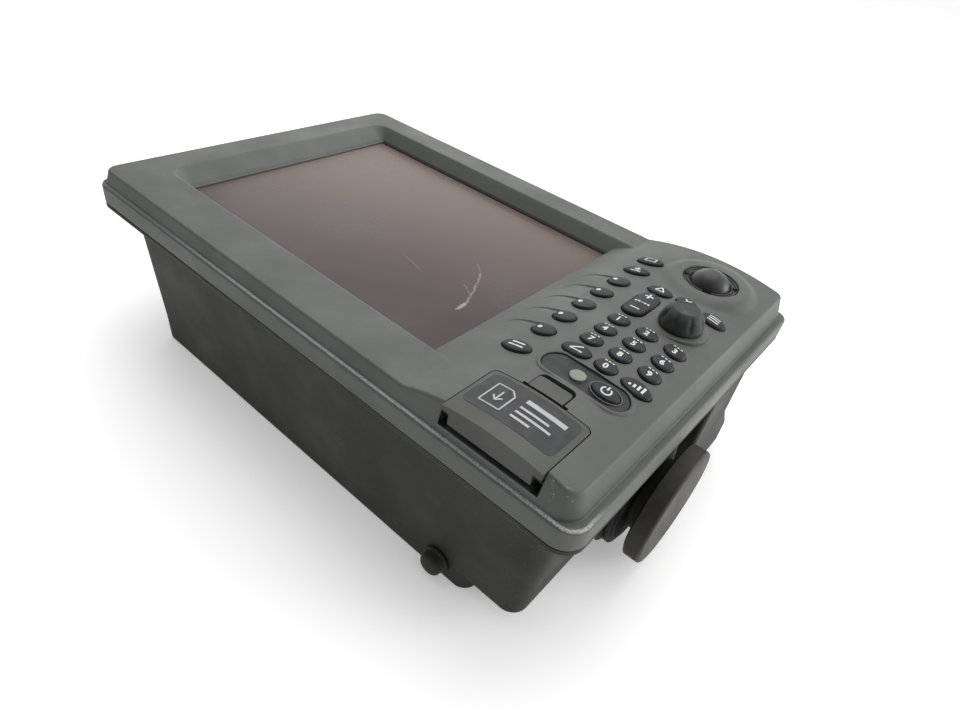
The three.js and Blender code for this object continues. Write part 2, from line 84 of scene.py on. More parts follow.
def times(tree, first, *others):
    for other in others:
        first = maths(tree, "MULTIPLY", first, other)
    return first


def remap(tree, value, low, high, outLow=0.0, outHigh=1.0):
    item = node(tree, "ShaderNodeMapRange", interpolation_type="SMOOTHSTEP")
    for socket, entry in zip(item.inputs, (value, low, high, outLow, outHigh)):
        plug(tree, socket, entry)
    return item.outputs[0]


def tint(tree, share, first, second):
    item = node(tree, "ShaderNodeMix", data_type="RGBA")
    plug(tree, item.inputs[0], share)
    for socket, value in ((item.inputs[6], first), (item.inputs[7], second)):
        plug(tree, socket, value if isinstance(value, bpy.types.NodeSocket) else (*value, 1))
    return item.outputs[2]


def smudge(tree, shade, color, *masks):
    # Lays a colour over the shade where all the masks meet.
    return tint(tree, times(tree, *masks), shade, color)


def place(tree, stretch=None, turn=(0, 0, 0)):
    spot = node(tree, "ShaderNodeTexCoord").outputs["Object"]
    if stretch is None:
        return spot
    mapping = node(tree, "ShaderNodeMapping")
    tree.links.new(spot, mapping.inputs["Vector"])
    mapping.inputs["Scale"].default_value = stretch
    mapping.inputs["Rotation"].default_value = [math.radians(a) for a in turn]
    return mapping.outputs[0]


def noise(tree, scale, detail=3, rough=0.55, spot=None):
    item = node(tree, "ShaderNodeTexNoise")
    tree.links.new(spot or place(tree), item.inputs["Vector"])
    item.inputs["Scale"].default_value = scale
    item.inputs["Detail"].default_value = detail
    item.inputs["Roughness"].default_value = rough
    return item.outputs["Fac"]


def faceXyz(tree):
    # Where a point is on the face, in millimetres.
    item = node(tree, "ShaderNodeSeparateXYZ")
    shift = node(tree, "ShaderNodeVectorMath", operation="MULTIPLY_ADD")
    tree.links.new(place(tree), shift.inputs[0])
    shift.inputs[1].default_value = (1000, 1000, 1000)
    shift.inputs[2].default_value = [-1000 * value for value in faceOrigin]
    tree.links.new(shift.outputs[0], item.inputs[0])
    return item.outputs


def bumps(tree, shader, layers):
    last = None
    for height, depth in layers:
        item = node(tree, "ShaderNodeBump")
        item.inputs["Distance"].default_value = depth
        tree.links.new(height, item.inputs["Height"])
        if last is not None:
            tree.links.new(last, item.inputs["Normal"])
        last = item.outputs[0]
    tree.links.new(last, shader.inputs["Normal"])


def finished(material, tree, shader, shade, roughness, layers):
    tree.links.new(shade, shader.inputs["Base Color"])
    tree.links.new(roughness, shader.inputs["Roughness"])
    bumps(tree, shader, layers)
    return material


def scaled(color, by):
    return tuple(min(value * by, 1) for value in color)


def newMaterial(name, **sockets):
    material = bpy.data.materials.new(name)
    material.use_nodes = True
    shader = material.node_tree.nodes["Principled BSDF"]
    for key, value in sockets.items():
        shader.inputs[key].default_value = value
    return material, material.node_tree, shader


def moulded(name, color, rough=0.5, grain=1400, depth=0.00005, mottle=0.045, scuffs=0.2, dust=0.0, addWearAndShade=None,
            gloss=0.36):
    # Textured plastic or paint: mottled colour, a fine leather-like grain, faint scuffs.
    material, tree, shader = newMaterial(name, **{"Specular IOR Level": gloss})
    patches = noise(tree, 26, 5, 0.6)
    fine = noise(tree, grain, 2, 0.6)
    cloud = remap(tree, patches, 0.32, 0.68)
    shade = tint(tree, cloud, scaled(color, 1 - mottle), scaled(color, 1 + mottle))
    flecks = remap(tree, noise(tree, grain * 0.7, 3, 0.7), 0.62, 0.74)
    shade = smudge(tree, shade, scaled(color, 2.2), flecks, 0.16)
    long = noise(tree, 60, 3, 0.65, place(tree, (1, 14, 1), (0, 0, 38)))
    short = noise(tree, 90, 3, 0.65, place(tree, (16, 1, 3), (0, 0, -20)))
    lines = times(tree, remap(tree, long, 0.66, 0.72), remap(tree, patches, 0.48, 0.62))
    lines = maths(tree, "MAXIMUM", lines, times(tree, remap(tree, short, 0.7, 0.76), 0.7))
    shade = smudge(tree, shade, scaled(color, 2.6), lines, scuffs)
    if dust:
        film = remap(tree, noise(tree, 140, 5, 0.7), 0.5, 0.75)
        shade = smudge(tree, shade, (0.30, 0.29, 0.25), film, dust)
    if addWearAndShade:
        shade = addWearAndShade(tree, shade)
    uneven = maths(tree, "ADD", patches, times(tree, lines, 0.2))
    level = remap(tree, uneven, 0.3, 0.8, rough + 0.08, rough - 0.08)
    layers = [(fine, depth), (noise(tree, 320, 3), depth * 1.4), (lines, depth * -0.6)]
    return finished(material, tree, shader, shade, level, layers)


def within(tree, value, middle, half, soft=0.3):
    away = maths(tree, "ABSOLUTE", maths(tree, "SUBTRACT", value, middle))
    return remap(tree, away, half + soft, max(half - soft, 0.0))


wearAndShade = {"silver": (0.52, 0.55, 0.55), "chip": (0.42, 0.43, 0.42), "sill": (0.30, 0.31, 0.30),
        "seam": (0.22, 0.22, 0.21), "shadow": (0.012, 0.012, 0.013), "gap": (0.006, 0.006, 0.006),
        "stepDark": (0.045, 0.05, 0.05), "bare": (0.012, 0.012, 0.012),
        "rubbed": (0.28, 0.28, 0.26), "paintedShade": (0.012, 0.0122, 0.0105),
        "corner": (343.5, 5.8), "bandReach": 8.4, "bandHalf": 0.65, "lidX": 305.4, "lidHalf": 26.3}


def ledgeWearAndShade(tree, shade):
    # A bright band of wear on the lip, chips near its corner, painted shade in the card bay and a darker step.
    x, y, z = faceXyz(tree)[:3]
    # Measured from a point inside the near right corner, the band keeps one width all round it.
    right = maths(tree, "MAXIMUM", maths(tree, "SUBTRACT", x, wearAndShade["corner"][0]), 0)
    near = maths(tree, "MAXIMUM", maths(tree, "SUBTRACT", wearAndShade["corner"][1], y), 0)
    out = maths(tree, "SQRT", maths(tree, "ADD", times(tree, right, right), times(tree, near, near)))
    speckle = remap(tree, noise(tree, 1500, 4, 0.8), 0.38, 0.52)
    shade = smudge(tree, shade, wearAndShade["silver"], within(tree, out, wearAndShade["bandReach"], wearAndShade["bandHalf"]),
                   within(tree, z, -8.4, 0.8), remap(tree, x, 60, 150, 0.35, 1.0),
                   remap(tree, x, 356, 349, 0.6, 1), remap(tree, y, 22, 2, 0, 0.85), speckle)
    nicks = remap(tree, noise(tree, 420, 4, 0.75), 0.6, 0.68)
    shade = smudge(tree, shade, wearAndShade["chip"], within(tree, y, 0.8, 2.4, 1), remap(tree, z, -7.0, -1.0),
                   nicks, remap(tree, x, 322, 336), 0.8)
    underLid = within(tree, x, wearAndShade["lidX"], wearAndShade["lidHalf"], 0.4)
    shade = smudge(tree, shade, wearAndShade["sill"], underLid, within(tree, z, -5.05, 0.2, 0.15), 0.6,
                   remap(tree, y, -0.2, -0.8))
    # Painted shade inside the card bay under the lid, strongest at its two ends.
    aside = maths(tree, "ABSOLUTE", maths(tree, "SUBTRACT", x, wearAndShade["lidX"]))
    shade = smudge(tree, shade, wearAndShade["shadow"], underLid, within(tree, y, 6, 6.6), remap(tree, z, 5.2, 3.8),
                   remap(tree, aside, 21.5, 23.5, 0.3, 0.85))
    shade = smudge(tree, shade, wearAndShade["gap"], within(tree, x, 140, 105), within(tree, y, 196, 2.4, 0.6),
                   within(tree, z, -7.9, 0.5, 0.3))
    # Darker at heights near the ledge's step.
    return smudge(tree, shade, wearAndShade["stepDark"], within(tree, z, -7.4, 0.6, 0.5), 0.4)


def rearWearAndShade(tree, shade):
    # A pale seam under the lip, chips below it, a rubbed corner, and painted shade towards the left end and at
    # the right corner.
    x, y, z = faceXyz(tree)[:3]
    shade = smudge(tree, shade, wearAndShade["seam"], within(tree, z, -20.9, 0.25, 0.2), 0.55)
    chips = remap(tree, noise(tree, 260, 4, 0.75), 0.61, 0.66)
    shade = smudge(tree, shade, wearAndShade["bare"], within(tree, z, -24, 2.2, 1), remap(tree, y, 8, -2), chips)
    pale = remap(tree, noise(tree, 300, 5, 0.8), 0.58, 0.68)
    shade = smudge(tree, shade, wearAndShade["rubbed"], remap(tree, x, 320, 338), remap(tree, y, 14, 2), pale, 0.45)
    # Painted shade: darker towards the left end and at the near right corner, fading out away from the near
    # side.
    cornerShade = times(tree, remap(tree, x, 322, 336), 0.35)
    paintedShade = maths(tree, "MAXIMUM", remap(tree, x, 190, 20, 0, 0.55), cornerShade)
    return smudge(tree, shade, wearAndShade["paintedShade"], paintedShade, remap(tree, y, 40, 10))


def screenMaterial():
    # Matt-coated glass over a dark panel: brown, with a painted reflection that makes it paler towards the far
    # left, and one branching scratch.
    material, tree, shader = newMaterial("brownScreenGlass", **{"IOR": 1.5, "Specular IOR Level": 0.27})
    x, y = faceXyz(tree)[:2]
    # Painted reflection: the brown grows paler towards the far left and darker towards the near edge.
    across = maths(tree, "ADD", times(tree, y, 0.0058), times(tree, x, -0.0022))
    shade = tint(tree, remap(tree, across, -0.35, 1.1), (0.030, 0.012, 0.008), (0.130, 0.084, 0.065))
    haze = noise(tree, 14, 4, 0.6)
    shade = smudge(tree, shade, (0.12, 0.10, 0.09), remap(tree, haze, 0.4, 0.7), 0.22)
    grid = node(tree, "ShaderNodeTexWave", wave_type="BANDS", bands_direction="Y")
    tree.links.new(place(tree), grid.inputs["Vector"])
    grid.inputs["Scale"].default_value = 420
    shade = smudge(tree, shade, (0.02, 0.012, 0.01), grid.outputs["Fac"], 0.05)
    wobble = times(tree, maths(tree, "SUBTRACT", noise(tree, 120, 3, 0.7), 0.5), 5.0)
    tear = maths(tree, "SUBTRACT", x, wobble)
    line = None
    for x0, y0, x1, y1, half, strength in screenScratch:
        slopeX = (x1 - x0) / (y1 - y0)
        centre = maths(tree, "MULTIPLY_ADD", y, slopeX, x0 - slopeX * y0)
        away = maths(tree, "ABSOLUTE", maths(tree, "SUBTRACT", tear, centre))
        low, high = sorted((y0, y1))
        part = times(tree, remap(tree, away, half, half * 0.15), remap(tree, y, low - 1, low + 1),
                     remap(tree, y, high + 1, high - 1, 0, strength))
        line = part if line is None else maths(tree, "MAXIMUM", line, part)
    broken = remap(tree, noise(tree, 260, 4, 0.7), 0.3, 0.55, 0.25, 1)
    shade = smudge(tree, shade, (0.55, 0.49, 0.47), line, broken, 0.62)
    level = remap(tree, haze, 0.3, 0.7, 0.2, 0.3)
    return finished(material, tree, shader, shade, level, [(noise(tree, 2600, 2), 0.000012)])


def polished(name, color, rough, coat=0.0, speck=0.3):
    # Smooth plastic with a faint cloud and a few specks.
    sockets = {"Coat Weight": coat, "Coat Roughness": 0.12, "Specular IOR Level": 0.36}
    material, tree, shader = newMaterial(name, **sockets)
    cloud = noise(tree, 90, 5, 0.65)
    shade = tint(tree, remap(tree, cloud, 0.3, 0.7), scaled(color, 0.82), scaled(color, 1.18))
    dots = remap(tree, noise(tree, 700, 4, 0.8), 0.66, 0.74)
    shade = smudge(tree, shade, (0.25, 0.25, 0.24), dots, speck)
    level = remap(tree, noise(tree, 210, 4), 0.3, 0.7, rough, rough + 0.12)
    return finished(material, tree, shader, shade, level, [(cloud, 0.00004)])


def metal(name, color, rough, stretch=(1, 1, 30)):
    material, tree, shader = newMaterial(name, **{"Metallic": 1.0})
    brushed = noise(tree, 260, 4, 0.7, place(tree, stretch))
    shade = tint(tree, remap(tree, brushed, 0.3, 0.7), scaled(color, 0.8), scaled(color, 1.1))
    level = remap(tree, brushed, 0.3, 0.7, rough - 0.08, rough + 0.1)
    return finished(material, tree, shader, shade, level, [(brushed, 0.00003)])


def boardMaterial():
    material, tree, shader = newMaterial("greenCircuitBoard", **{"Coat Weight": 0.4})
    tracks = node(tree, "ShaderNodeTexVoronoi", feature="DISTANCE_TO_EDGE")
    tree.links.new(place(tree), tracks.inputs["Vector"])
    tracks.inputs["Scale"].default_value = 260
    tracks.inputs["Randomness"].default_value = 0.3
    gap = tracks.outputs["Distance"]
    shade = tint(tree, remap(tree, gap, 0.05, 0.12), (0.03, 0.2, 0.08), (0.012, 0.1, 0.04))
    level = remap(tree, noise(tree, 120), 0.3, 0.7, 0.3, 0.45)
    return finished(material, tree, shader, shade, level, [(gap, 0.00005)])


screenScratch = [  # x and y where each stroke starts and ends, half width, strength
    (199.8, 117.7, 208.6, 111.0, 0.9, 0.35),
    (208.6, 111.0, 215.7, 99.3, 0.9, 0.5),
    (215.7, 99.3, 222.0, 86.1, 1.0, 0.55),
    (211.0, 93.5, 221.5, 88.0, 1.3, 0.4),
    (222.0, 86.1, 223.9, 80.7, 1.3, 0.8),
    (223.9, 80.7, 225.3, 71.8, 1.4, 0.9),
    (170.2, 88.4, 184.3, 85.2, 2.4, 0.22),
]

paint = {
    "case_front": moulded("greyGreenCase", (0.090, 0.1, 0.0915), 0.52, addWearAndShade=ledgeWearAndShade),
    "case_rear": moulded("charcoalCasting", (0.0265, 0.027, 0.0235), 0.6, 1100, mottle=0.05, dust=0.02,
                         addWearAndShade=rearWearAndShade, gloss=0.26),
    "keycap": moulded("blueBlackRubber", (0.0125, 0.013, 0.0165), 0.55, 1800, 0.00003, 0.15, 0.08, 0.02),
    "seal": moulded("sealRubber", (0.014, 0.014, 0.015), 0.7),
    "screen": screenMaterial(),
    "gloss_panel": polished("darkKeyPanel", (0.017, 0.0175, 0.0195), 0.46, 0.0, 0.06),
    "label": polished("labelPrint", (0.028, 0.029, 0.031), 0.45, 0.0, 0.06),
    "lid": moulded("oliveLid", (0.058, 0.061, 0.050), 0.46, 1500, 0.00002, 0.06, 0.2, 0.03),
    "lens": polished("paleLens", (0.20, 0.21, 0.178), 0.3, 0.2, 0.05),
    "ball": polished("darkBall", (0.026, 0.0255, 0.0275), 0.34, 0.1, 0.1),
    "knob_rubber": moulded("gripRubber", (0.026, 0.027, 0.028), 0.62, 1600, 0.00005, 0.2, 0.3, 0.16),
    "mount_knob": moulded("khakiKnob", (0.041, 0.038, 0.028), 0.55, 1500, 0.00004, 0.16, 0.35, 0.08,
                          gloss=0.22),
    "black_plastic": moulded("blackPlastic", (0.019, 0.0195, 0.02), 0.5),
    "sheet_metal": metal("plainSheet", (0.55, 0.56, 0.57), 0.4),
    "steel": metal("stainless", (0.55, 0.55, 0.54), 0.32),
    "circuit_board": boardMaterial(),
}
markInk = moulded("whiteInk", (0.66, 0.67, 0.66), 0.5, 1800, 0.00001, 0.06, 0.0)
greyInk = moulded("greyInk", (0.115, 0.12, 0.12), 0.5, 1800, 0.00001, 0.08, 0.0)
labelInk = moulded("paleLabelInk", (0.40, 0.44, 0.43), 0.42, 1800, 0.00001, 0.08, 0.0)
rimDark = moulded("oliveRim", (0.030, 0.029, 0.022), 0.5, 1500, 0.00004, 0.16, 0.2, 0.06)
plateGrey = moulded("platePrint", (0.20, 0.205, 0.20), 0.4, 1800, 0.00001, 0.08, 0.1)
print("materials ready:", len(bpy.data.materials))

slotOf = {row["node"]: row["material_slot"] for row in frame["record"]["subparts"]}
for name, item in frame["nodes"].items():
    item.data.materials.clear()
    item.data.materials.append(paint["black_plastic" if name == "lid_pin" else slotOf[name]])


# Mesh tools, in millimetres.

def meshObject(name, points, faces):
    mesh = bpy.data.meshes.new(name)
    mesh.from_pydata([tuple(point) for point in points], [], faces)
    work = bmesh.new()
    work.from_mesh(mesh)
    bmesh.ops.remove_doubles(work, verts=work.verts, dist=1e-5)
    bmesh.ops.recalc_face_normals(work, faces=work.faces)
    work.to_mesh(mesh)
    work.free()
    item = bpy.data.objects.new(name, mesh)
    bpy.context.scene.collection.objects.link(item)
    return item


def skin(loops):
    # The points of a stack of loops and the faces between each loop and the next.
    count = len(loops[0])
    points = [point for loop in loops for point in loop]
    faces = []
    for s in range(len(loops) - 1):
        for i in range(count):
            a, b = s * count + i, s * count + (i + 1) % count
            faces.append((a, b, b + count, a + count))
    return points, faces, count


def loft(name, loops):
    points, faces, count = skin(loops)
    faces.append(tuple(reversed(range(count))))
    faces.append(tuple((len(loops) - 1) * count + i for i in range(count)))
    return meshObject(name, points, faces)


def turned(name, profile, steps=72, radiusAt=None):
    # Turned about Z. A profile point is (radius, z). It starts and ends on the axis.
    points, rows = [], []
    for r, z in profile:
        row = []
        if r == 0:
            points.append((0, 0, z))
            row = [len(points) - 1] * steps
        else:
            for i in range(steps):
                angle = 2 * math.pi * i / steps
                reach = radiusAt(r, z, angle) if radiusAt else r
                points.append((reach * math.cos(angle), reach * math.sin(angle), z))
                row.append(len(points) - 1)
        rows.append(row)
    faces = []
    for low, high in zip(rows, rows[1:]):
        for i in range(steps):
            k = (i + 1) % steps
            ring = []
            for index in (low[i], low[k], high[k], high[i]):
                if index not in ring:
                    ring.append(index)
            faces.append(tuple(ring))
    return meshObject(name, points, faces)


def bar(radius, low, high, steps=32):
    return turned("tool", [(0, low), (radius, low), (radius, high), (0, high)], steps)


def shift(item, x=0, y=0, z=0):
    item.data.transform(Matrix.Translation((x, y, z)))
    return item


def swung(item, axisName, degrees):
    item.data.transform(Matrix.Rotation(math.radians(degrees), 4, axisName))
    return item


def rounded(box, radius, steps=8, grow=0.0):
    x0, y0, x1, y1 = box[0] - grow, box[1] - grow, box[2] + grow, box[3] + grow
    radius = max(radius + grow, 0.05)
    centres = [(x1 - radius, y0 + radius, -90), (x1 - radius, y1 - radius, 0),
               (x0 + radius, y1 - radius, 90), (x0 + radius, y0 + radius, 180)]
    points = []
    for x, y, start in centres:
        for i in range(steps + 1):
            angle = math.radians(start + 90 * i / steps)
            points.append((x + radius * math.cos(angle), y + radius * math.sin(angle)))
    return points


def oval(x, y, width, height, steps=48):
    angles = [2 * math.pi * i / steps for i in range(steps)]
    return [(x + width / 2 * math.cos(a), y + height / 2 * math.sin(a)) for a in angles]


def dot(x, y, radius, steps=16):
    return oval(x, y, radius * 2, radius * 2, steps)


def raised(outline, z):
    return [(x, y, z(x, y) if callable(z) else z) for x, y in outline]


def prism(outline, z0, z1, name="tool"):
    return loft(name, [raised(outline, z0), raised(outline, z1)])


def block(x0, x1, y0, y1, z0, z1):
    return prism([(x0, y0), (x1, y0), (x1, y1), (x0, y1)], z0, z1)


def barrelHeight(x, offset=0.0):
    radius = barrel["radius"] + offset
    return barrel["peak"] - barrel["radius"] + math.sqrt(max(radius ** 2 - (x - barrel["x"]) ** 2, 0.0))


def onBarrel(lift):
    return lambda x, y: barrelHeight(x) + lift


def faceHeight(x):
    return max(barrelHeight(x), 0.0)


def underBarrel(x0, x1, y0, y1, floor, offset=0.0, steps=48, name="tool"):
    xs = [x0 + (x1 - x0) * i / steps for i in range(steps + 1)]
    section = [(x1, floor), (x0, floor)] + [(x, barrelHeight(x, offset)) for x in xs]
    return loft(name, [[(x, y0, z) for x, z in section], [(x, y1, z) for x, z in section]])


def applied(item):
    graph = bpy.context.evaluated_depsgraph_get()
    mesh = bpy.data.meshes.new_from_object(item.evaluated_get(graph))
    old = item.data
    item.modifiers.clear()
    item.data = mesh
    bpy.data.meshes.remove(old)
    return item


def combine(item, tool, how="DIFFERENCE", keep=False):
    step = item.modifiers.new("step", "BOOLEAN")
    step.operation, step.solver, step.object = how, "MANIFOLD", tool
    applied(item)
    if not keep:
        bpy.data.objects.remove(tool)
    return item


def cut(item, *tools):
    for tool in tools:
        combine(item, tool)
    return item


def add(item, *tools):
    for tool in tools:
        combine(item, tool, "UNION")
    return item


def softened(item, width, segments=3, angle=35):
    work = bmesh.new()
    work.from_mesh(item.data)
    bmesh.ops.dissolve_limit(work, angle_limit=math.radians(0.8), verts=work.verts, edges=work.edges)
    work.to_mesh(item.data)
    work.free()
    step = item.modifiers.new("edge", "BEVEL")
    step.width, step.segments, step.limit_method = width, segments, "ANGLE"
    step.angle_limit = math.radians(angle)
    return applied(item)


def joined(first, *others):
    # One mesh from several, each keeping its own materials.
    for other in others:
        work = bmesh.new()
        work.from_mesh(first.data)
        shiftBy = len(first.data.materials)
        for material in other.data.materials:
            first.data.materials.append(material)
        start = len(work.faces)
        work.from_mesh(other.data)
        work.faces.ensure_lookup_table()
        for face in work.faces[start:]:
            face.material_index += shiftBy
        work.to_mesh(first.data)
        work.free()
        bpy.data.objects.remove(other)
    return first


def painted(item, material):
    item.data.materials.append(material)
    return item


def done(item, name, body, slot, replaces=(), sharp=32, material=None):
    item.name = item.data.name = name
    item.data.transform(toRow)
    if not any(item.data.materials):
        item.data.materials.clear()
        item.data.materials.append(material or paint[slot])
    for face in item.data.polygons:
        face.use_smooth = True
    item.data.set_sharp_from_angle(angle=math.radians(sharp))
    step = item.modifiers.new("faceWeights", "WEIGHTED_NORMAL")
    step.keep_sharp = True
    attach(item, body)
    if replaces:
        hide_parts(*replaces)
    return item


# Camera, floor and light.

view = {"place": (396.2, -152.3, 182.0), "lens": 24.17, "sensor": 36, "right": (0.75143, 0.64344, 0.14605),
        "up": (-0.49281, 0.40012, 0.77268), "near": 0.01, "far": 20}
light = {"sky": 1.0, "front": 0.14, "floor": 0.3}
lamps = {"keyLight": (14.8, 1.6, (-0.3, 0.7, 1.7), (0, 0, 0.05)),   # power, size, spot, aim
         "sideLight": (20, 1.0, (1.7, 1.3, 0.55), (0.1, 0.05, 0.05)),
         "backLight": (5, 1.4, (-1.2, 1.3, 0.7), (0, 0, 0.08))}

cameraData = bpy.data.cameras.new("camera")
cameraData.lens, cameraData.sensor_width = view["lens"], view["sensor"]
camera = bpy.data.objects.new("camera", cameraData)
bpy.context.scene.collection.objects.link(camera)
right, up = Vector(view["right"]).normalized(), Vector(view["up"]).normalized()
turn = Matrix((right, up, right.cross(up))).transposed().to_4x4()
camera.matrix_world = Matrix.Translation(toRow @ Vector(view["place"])) @ turn
cameraData.clip_start, cameraData.clip_end = view["near"], view["far"]
bpy.context.scene.camera = camera

floorMaterial, floorTree, floorShader = newMaterial("paleFloor")
floorTone = tint(floorTree, noise(floorTree, 3, 3), (0.9, 0.9, 0.9), (0.93, 0.93, 0.93))
floorTree.links.new(floorTone, floorShader.inputs["Base Color"])
floorShader.inputs["Roughness"].default_value = 0.8
floorShader.inputs["Emission Color"].default_value = (1, 1, 1, 1)
floorShader.inputs["Emission Strength"].default_value = light["floor"]
floor = meshObject("floor", [(-6, -6, 0), (6, -6, 0), (6, 6, 0), (-6, 6, 0)], [(0, 1, 2, 3)])
floor.data.materials.append(floorMaterial)

world = bpy.data.worlds.new("studio")
world.use_nodes = True
backdrop = world.node_tree.nodes["Background"]
backdrop.inputs["Color"].default_value = (1, 1, 1, 1)
towards = node(world.node_tree, "ShaderNodeSeparateXYZ")
heading = node(world.node_tree, "ShaderNodeTexCoord").outputs["Generated"]
world.node_tree.links.new(heading, towards.inputs[0])
level = remap(world.node_tree, towards.outputs["Y"], -0.8, 0.25, light["front"], light["sky"])
world.node_tree.links.new(level, backdrop.inputs["Strength"])
bpy.context.scene.world = world
bpy.context.scene.view_settings.view_transform = "Standard"


def softLight(name, power, size, spot, aim):
    data = bpy.data.lights.new(name, "AREA")
    data.energy, data.size = power, size
    lamp = bpy.data.objects.new(name, data)
    bpy.context.scene.collection.objects.link(lamp)
    lamp.location = spot
    lamp.rotation_mode = "QUATERNION"
    lamp.rotation_quaternion = (Vector(aim) - Vector(spot)).to_track_quat("-Z", "Y")


for name, values in lamps.items():
    softLight(name, *values)
print("stage set")


# Front bezel.

bezel = {"face": (0, 0, 346.8, 224.2), "flange": (-4.1, -4.1, 353.2, 228.3), "corner": 8.5,
         "outerCorner": 11, "farRight": 5.2, "outerFarRight": 8,
         "edge": 1.7, "lipEdge": 1.9, "slope": 0.244, "cornerSteps": 9}
window = {"box": (35, 37.1, 245, 194.7), "rim": (21, 29, 262, 204), "depth": -8.3, "corner": 10}
ball = {"x": 312.2, "y": 188.3, "z": 3.8, "radius": 12.5}
mound = {"foot": 29, "flat": 20.4, "low": 2, "top": 10.36, "sunk": 0.06, "steps": 120}
enter = {"x": 320.5, "y": 132.8, "low": 9.4, "high": 19.3, "base": 11.6, "top": 6.9, "flutes": 8}
lid = {"x0": 279.9, "x1": 330.9, "y1": 33.7, "hingeY": 3.2, "hingeZ": -0.2}
latch = {"box": (296.9, 34.6, 314.7, 44.2), "low": 3.4, "lift": 0.5, "scoop": 7, "scoopZ": 15.2}
pill = {"x": 311.5, "y": 57.5, "width": 45, "height": 15.6, "lensX": 307.6,
        "rim": [(2.3, -1), (2.3, 0.05), (1.7, 0.5), (1.2, 0.62), (0.2, 0.3)]}
columns, rows = (297.2, 313.2, 329.2), (110.7, 97.8, 84.9)

# Middle, width and height of each key.
keys = {"key_display": (276, 185.1, 16, 9.8), "key_save": (276.2, 167.9, 15.6, 9.8),
        "key_hide": (275.2, 55.4, 15.6, 9.8), "key_alarm": (297.9, 153.8, 14.2, 9.8),
        "key_clear": (313.6, 154.6, 12.6, 9.4), "key_menu": (330.2, 153.2, 14.2, 9.8),
        "key_bearing": (297.2, 72, 15, 10.2), "key_0": (313.2, 72, 11.4, 10.2),
        "key_gain": (330, 71.4, 15.6, 10)}
for i in range(5):
    keys["key_soft_%d" % (i + 1)] = (275.7, 148.4 - 18 * i, 12.6, 11)
for i in range(9):
    keys["key_%d" % (i + 1)] = (columns[i % 3], rows[i // 3], 11.4, 10.2)
powerKey = (322.4, 57.5, 14.2, 9.6)
rocker = {"box": (291.25, 119.4, 303.55, 147), "corner": 6, "cuts": 9}


def arcPoints(x, y, radius, start, steps):
    # A quarter turn, each point with its outward direction.
    turns = [start + math.pi / 2 * i / steps for i in range(steps + 1)]
    return [(x + radius * math.cos(a), y + radius * math.sin(a), math.cos(a), math.sin(a)) for a in turns]


def rimHalf(box, left, right, steps):
    # The lower half of an outline from left to right.
    x0, y0, x1 = box[:3]
    runs = [30, 70, 120, 180, 230, barrelStart] + [barrelStart + 3 * i for i in range(1, 26)]
    return arcPoints(x0 + left, y0 + left, left, math.pi, steps) + [(x, y0, 0, -1) for x in runs] + \
        arcPoints(x1 - right, y0 + right, right, -math.pi / 2, steps)


def rimChain(box, corner, farRight, steps):
    # The whole outline: its far right corner is tighter than the other three.
    y0, y1 = box[1], box[3]
    other = [(x, y0 + y1 - y, nx, -ny) for x, y, nx, ny in rimHalf(box, corner, farRight, steps)]
    return rimHalf(box, corner, corner, steps) + other[::-1]


def bezelBody():
    inner = rimChain(bezel["face"], bezel["corner"], bezel["farRight"], bezel["cornerSteps"])
    outer = rimChain(bezel["flange"], bezel["outerCorner"], bezel["outerFarRight"], bezel["cornerSteps"])
    loops = []
    edge = bezel["edge"]
    for j in range(6):
        a = math.pi / 2 * (1 - j / 5)
        loop = []
        for x, y, nx, ny in inner:
            d = -bezel["slope"] * faceHeight(x) - edge * (1 - math.cos(a))
            loop.append((x + nx * d, y + ny * d, faceHeight(x + nx * d) - edge * (1 - math.sin(a))))
        loops.append(loop)
    ledge = case["ledge"]
    for out, z in ((1.5, ledge + 1.5), (1.7, ledge + 0.6), (1.9, ledge + 0.2), (2.16, ledge)):
        loops.append([(x + nx * out, y + ny * out, z) for x, y, nx, ny in inner])
    edge = bezel["lipEdge"]
    for j in range(6):
        a = math.pi / 2 * (1 - j / 5)
        d = -edge * (1 - math.cos(a))
        loops.append([(x + nx * d, y + ny * d, ledge - edge * (1 - math.sin(a))) for x, y, nx, ny in outer])
    for d, z in ((0, case["seam"] + 0.9), (-0.35, case["seam"] + 0.3), (-0.9, case["seam"])):
        loops.append([(x + nx * d, y + ny * d, z) for x, y, nx, ny in outer])
    points, faces, count = skin(loops)
    for i in range(count // 2 - 1):
        faces.append((i, i + 1, count - 2 - i, count - 1 - i))
    last = (len(loops) - 1) * count
    faces.append(tuple(last + i for i in range(count)))
    return meshObject("bezel", points, faces)


def recessTool():
    box, rim, depth, grow = window["box"], window["rim"], window["depth"], 0.2
    opening = (box[0] - grow, box[1] - grow, box[2] + grow, box[3] + grow)

    def between(share, extra=0.0):
        mixed = [a + (b - a) * share for a, b in zip(opening, rim)]
        return rounded(mixed, 1 + (window["corner"] - 1) * share, 8, extra)

    slope = loft("tool", [raised(between(0), depth), raised(between(0.93), depth * 0.07),
                          raised(between(1, 0.1), -0.22), raised(between(1, 0.55), -0.05),
                          raised(between(1, 1.1), 0.02), raised(between(1, 1.1), 8)])
    leftPart = combine(block(0, box[2], 0, 230, -20, 12), slope, "INTERSECT", keep=True)
    overBarrel = combine(slope, underBarrel(230, 300, -10, 240, -30, 0, 60))
    through = prism(rounded(box, 1, 4), -30, depth + 0.2)
    return combine(combine(through, leftPart, "UNION"), overBarrel, "UNION")


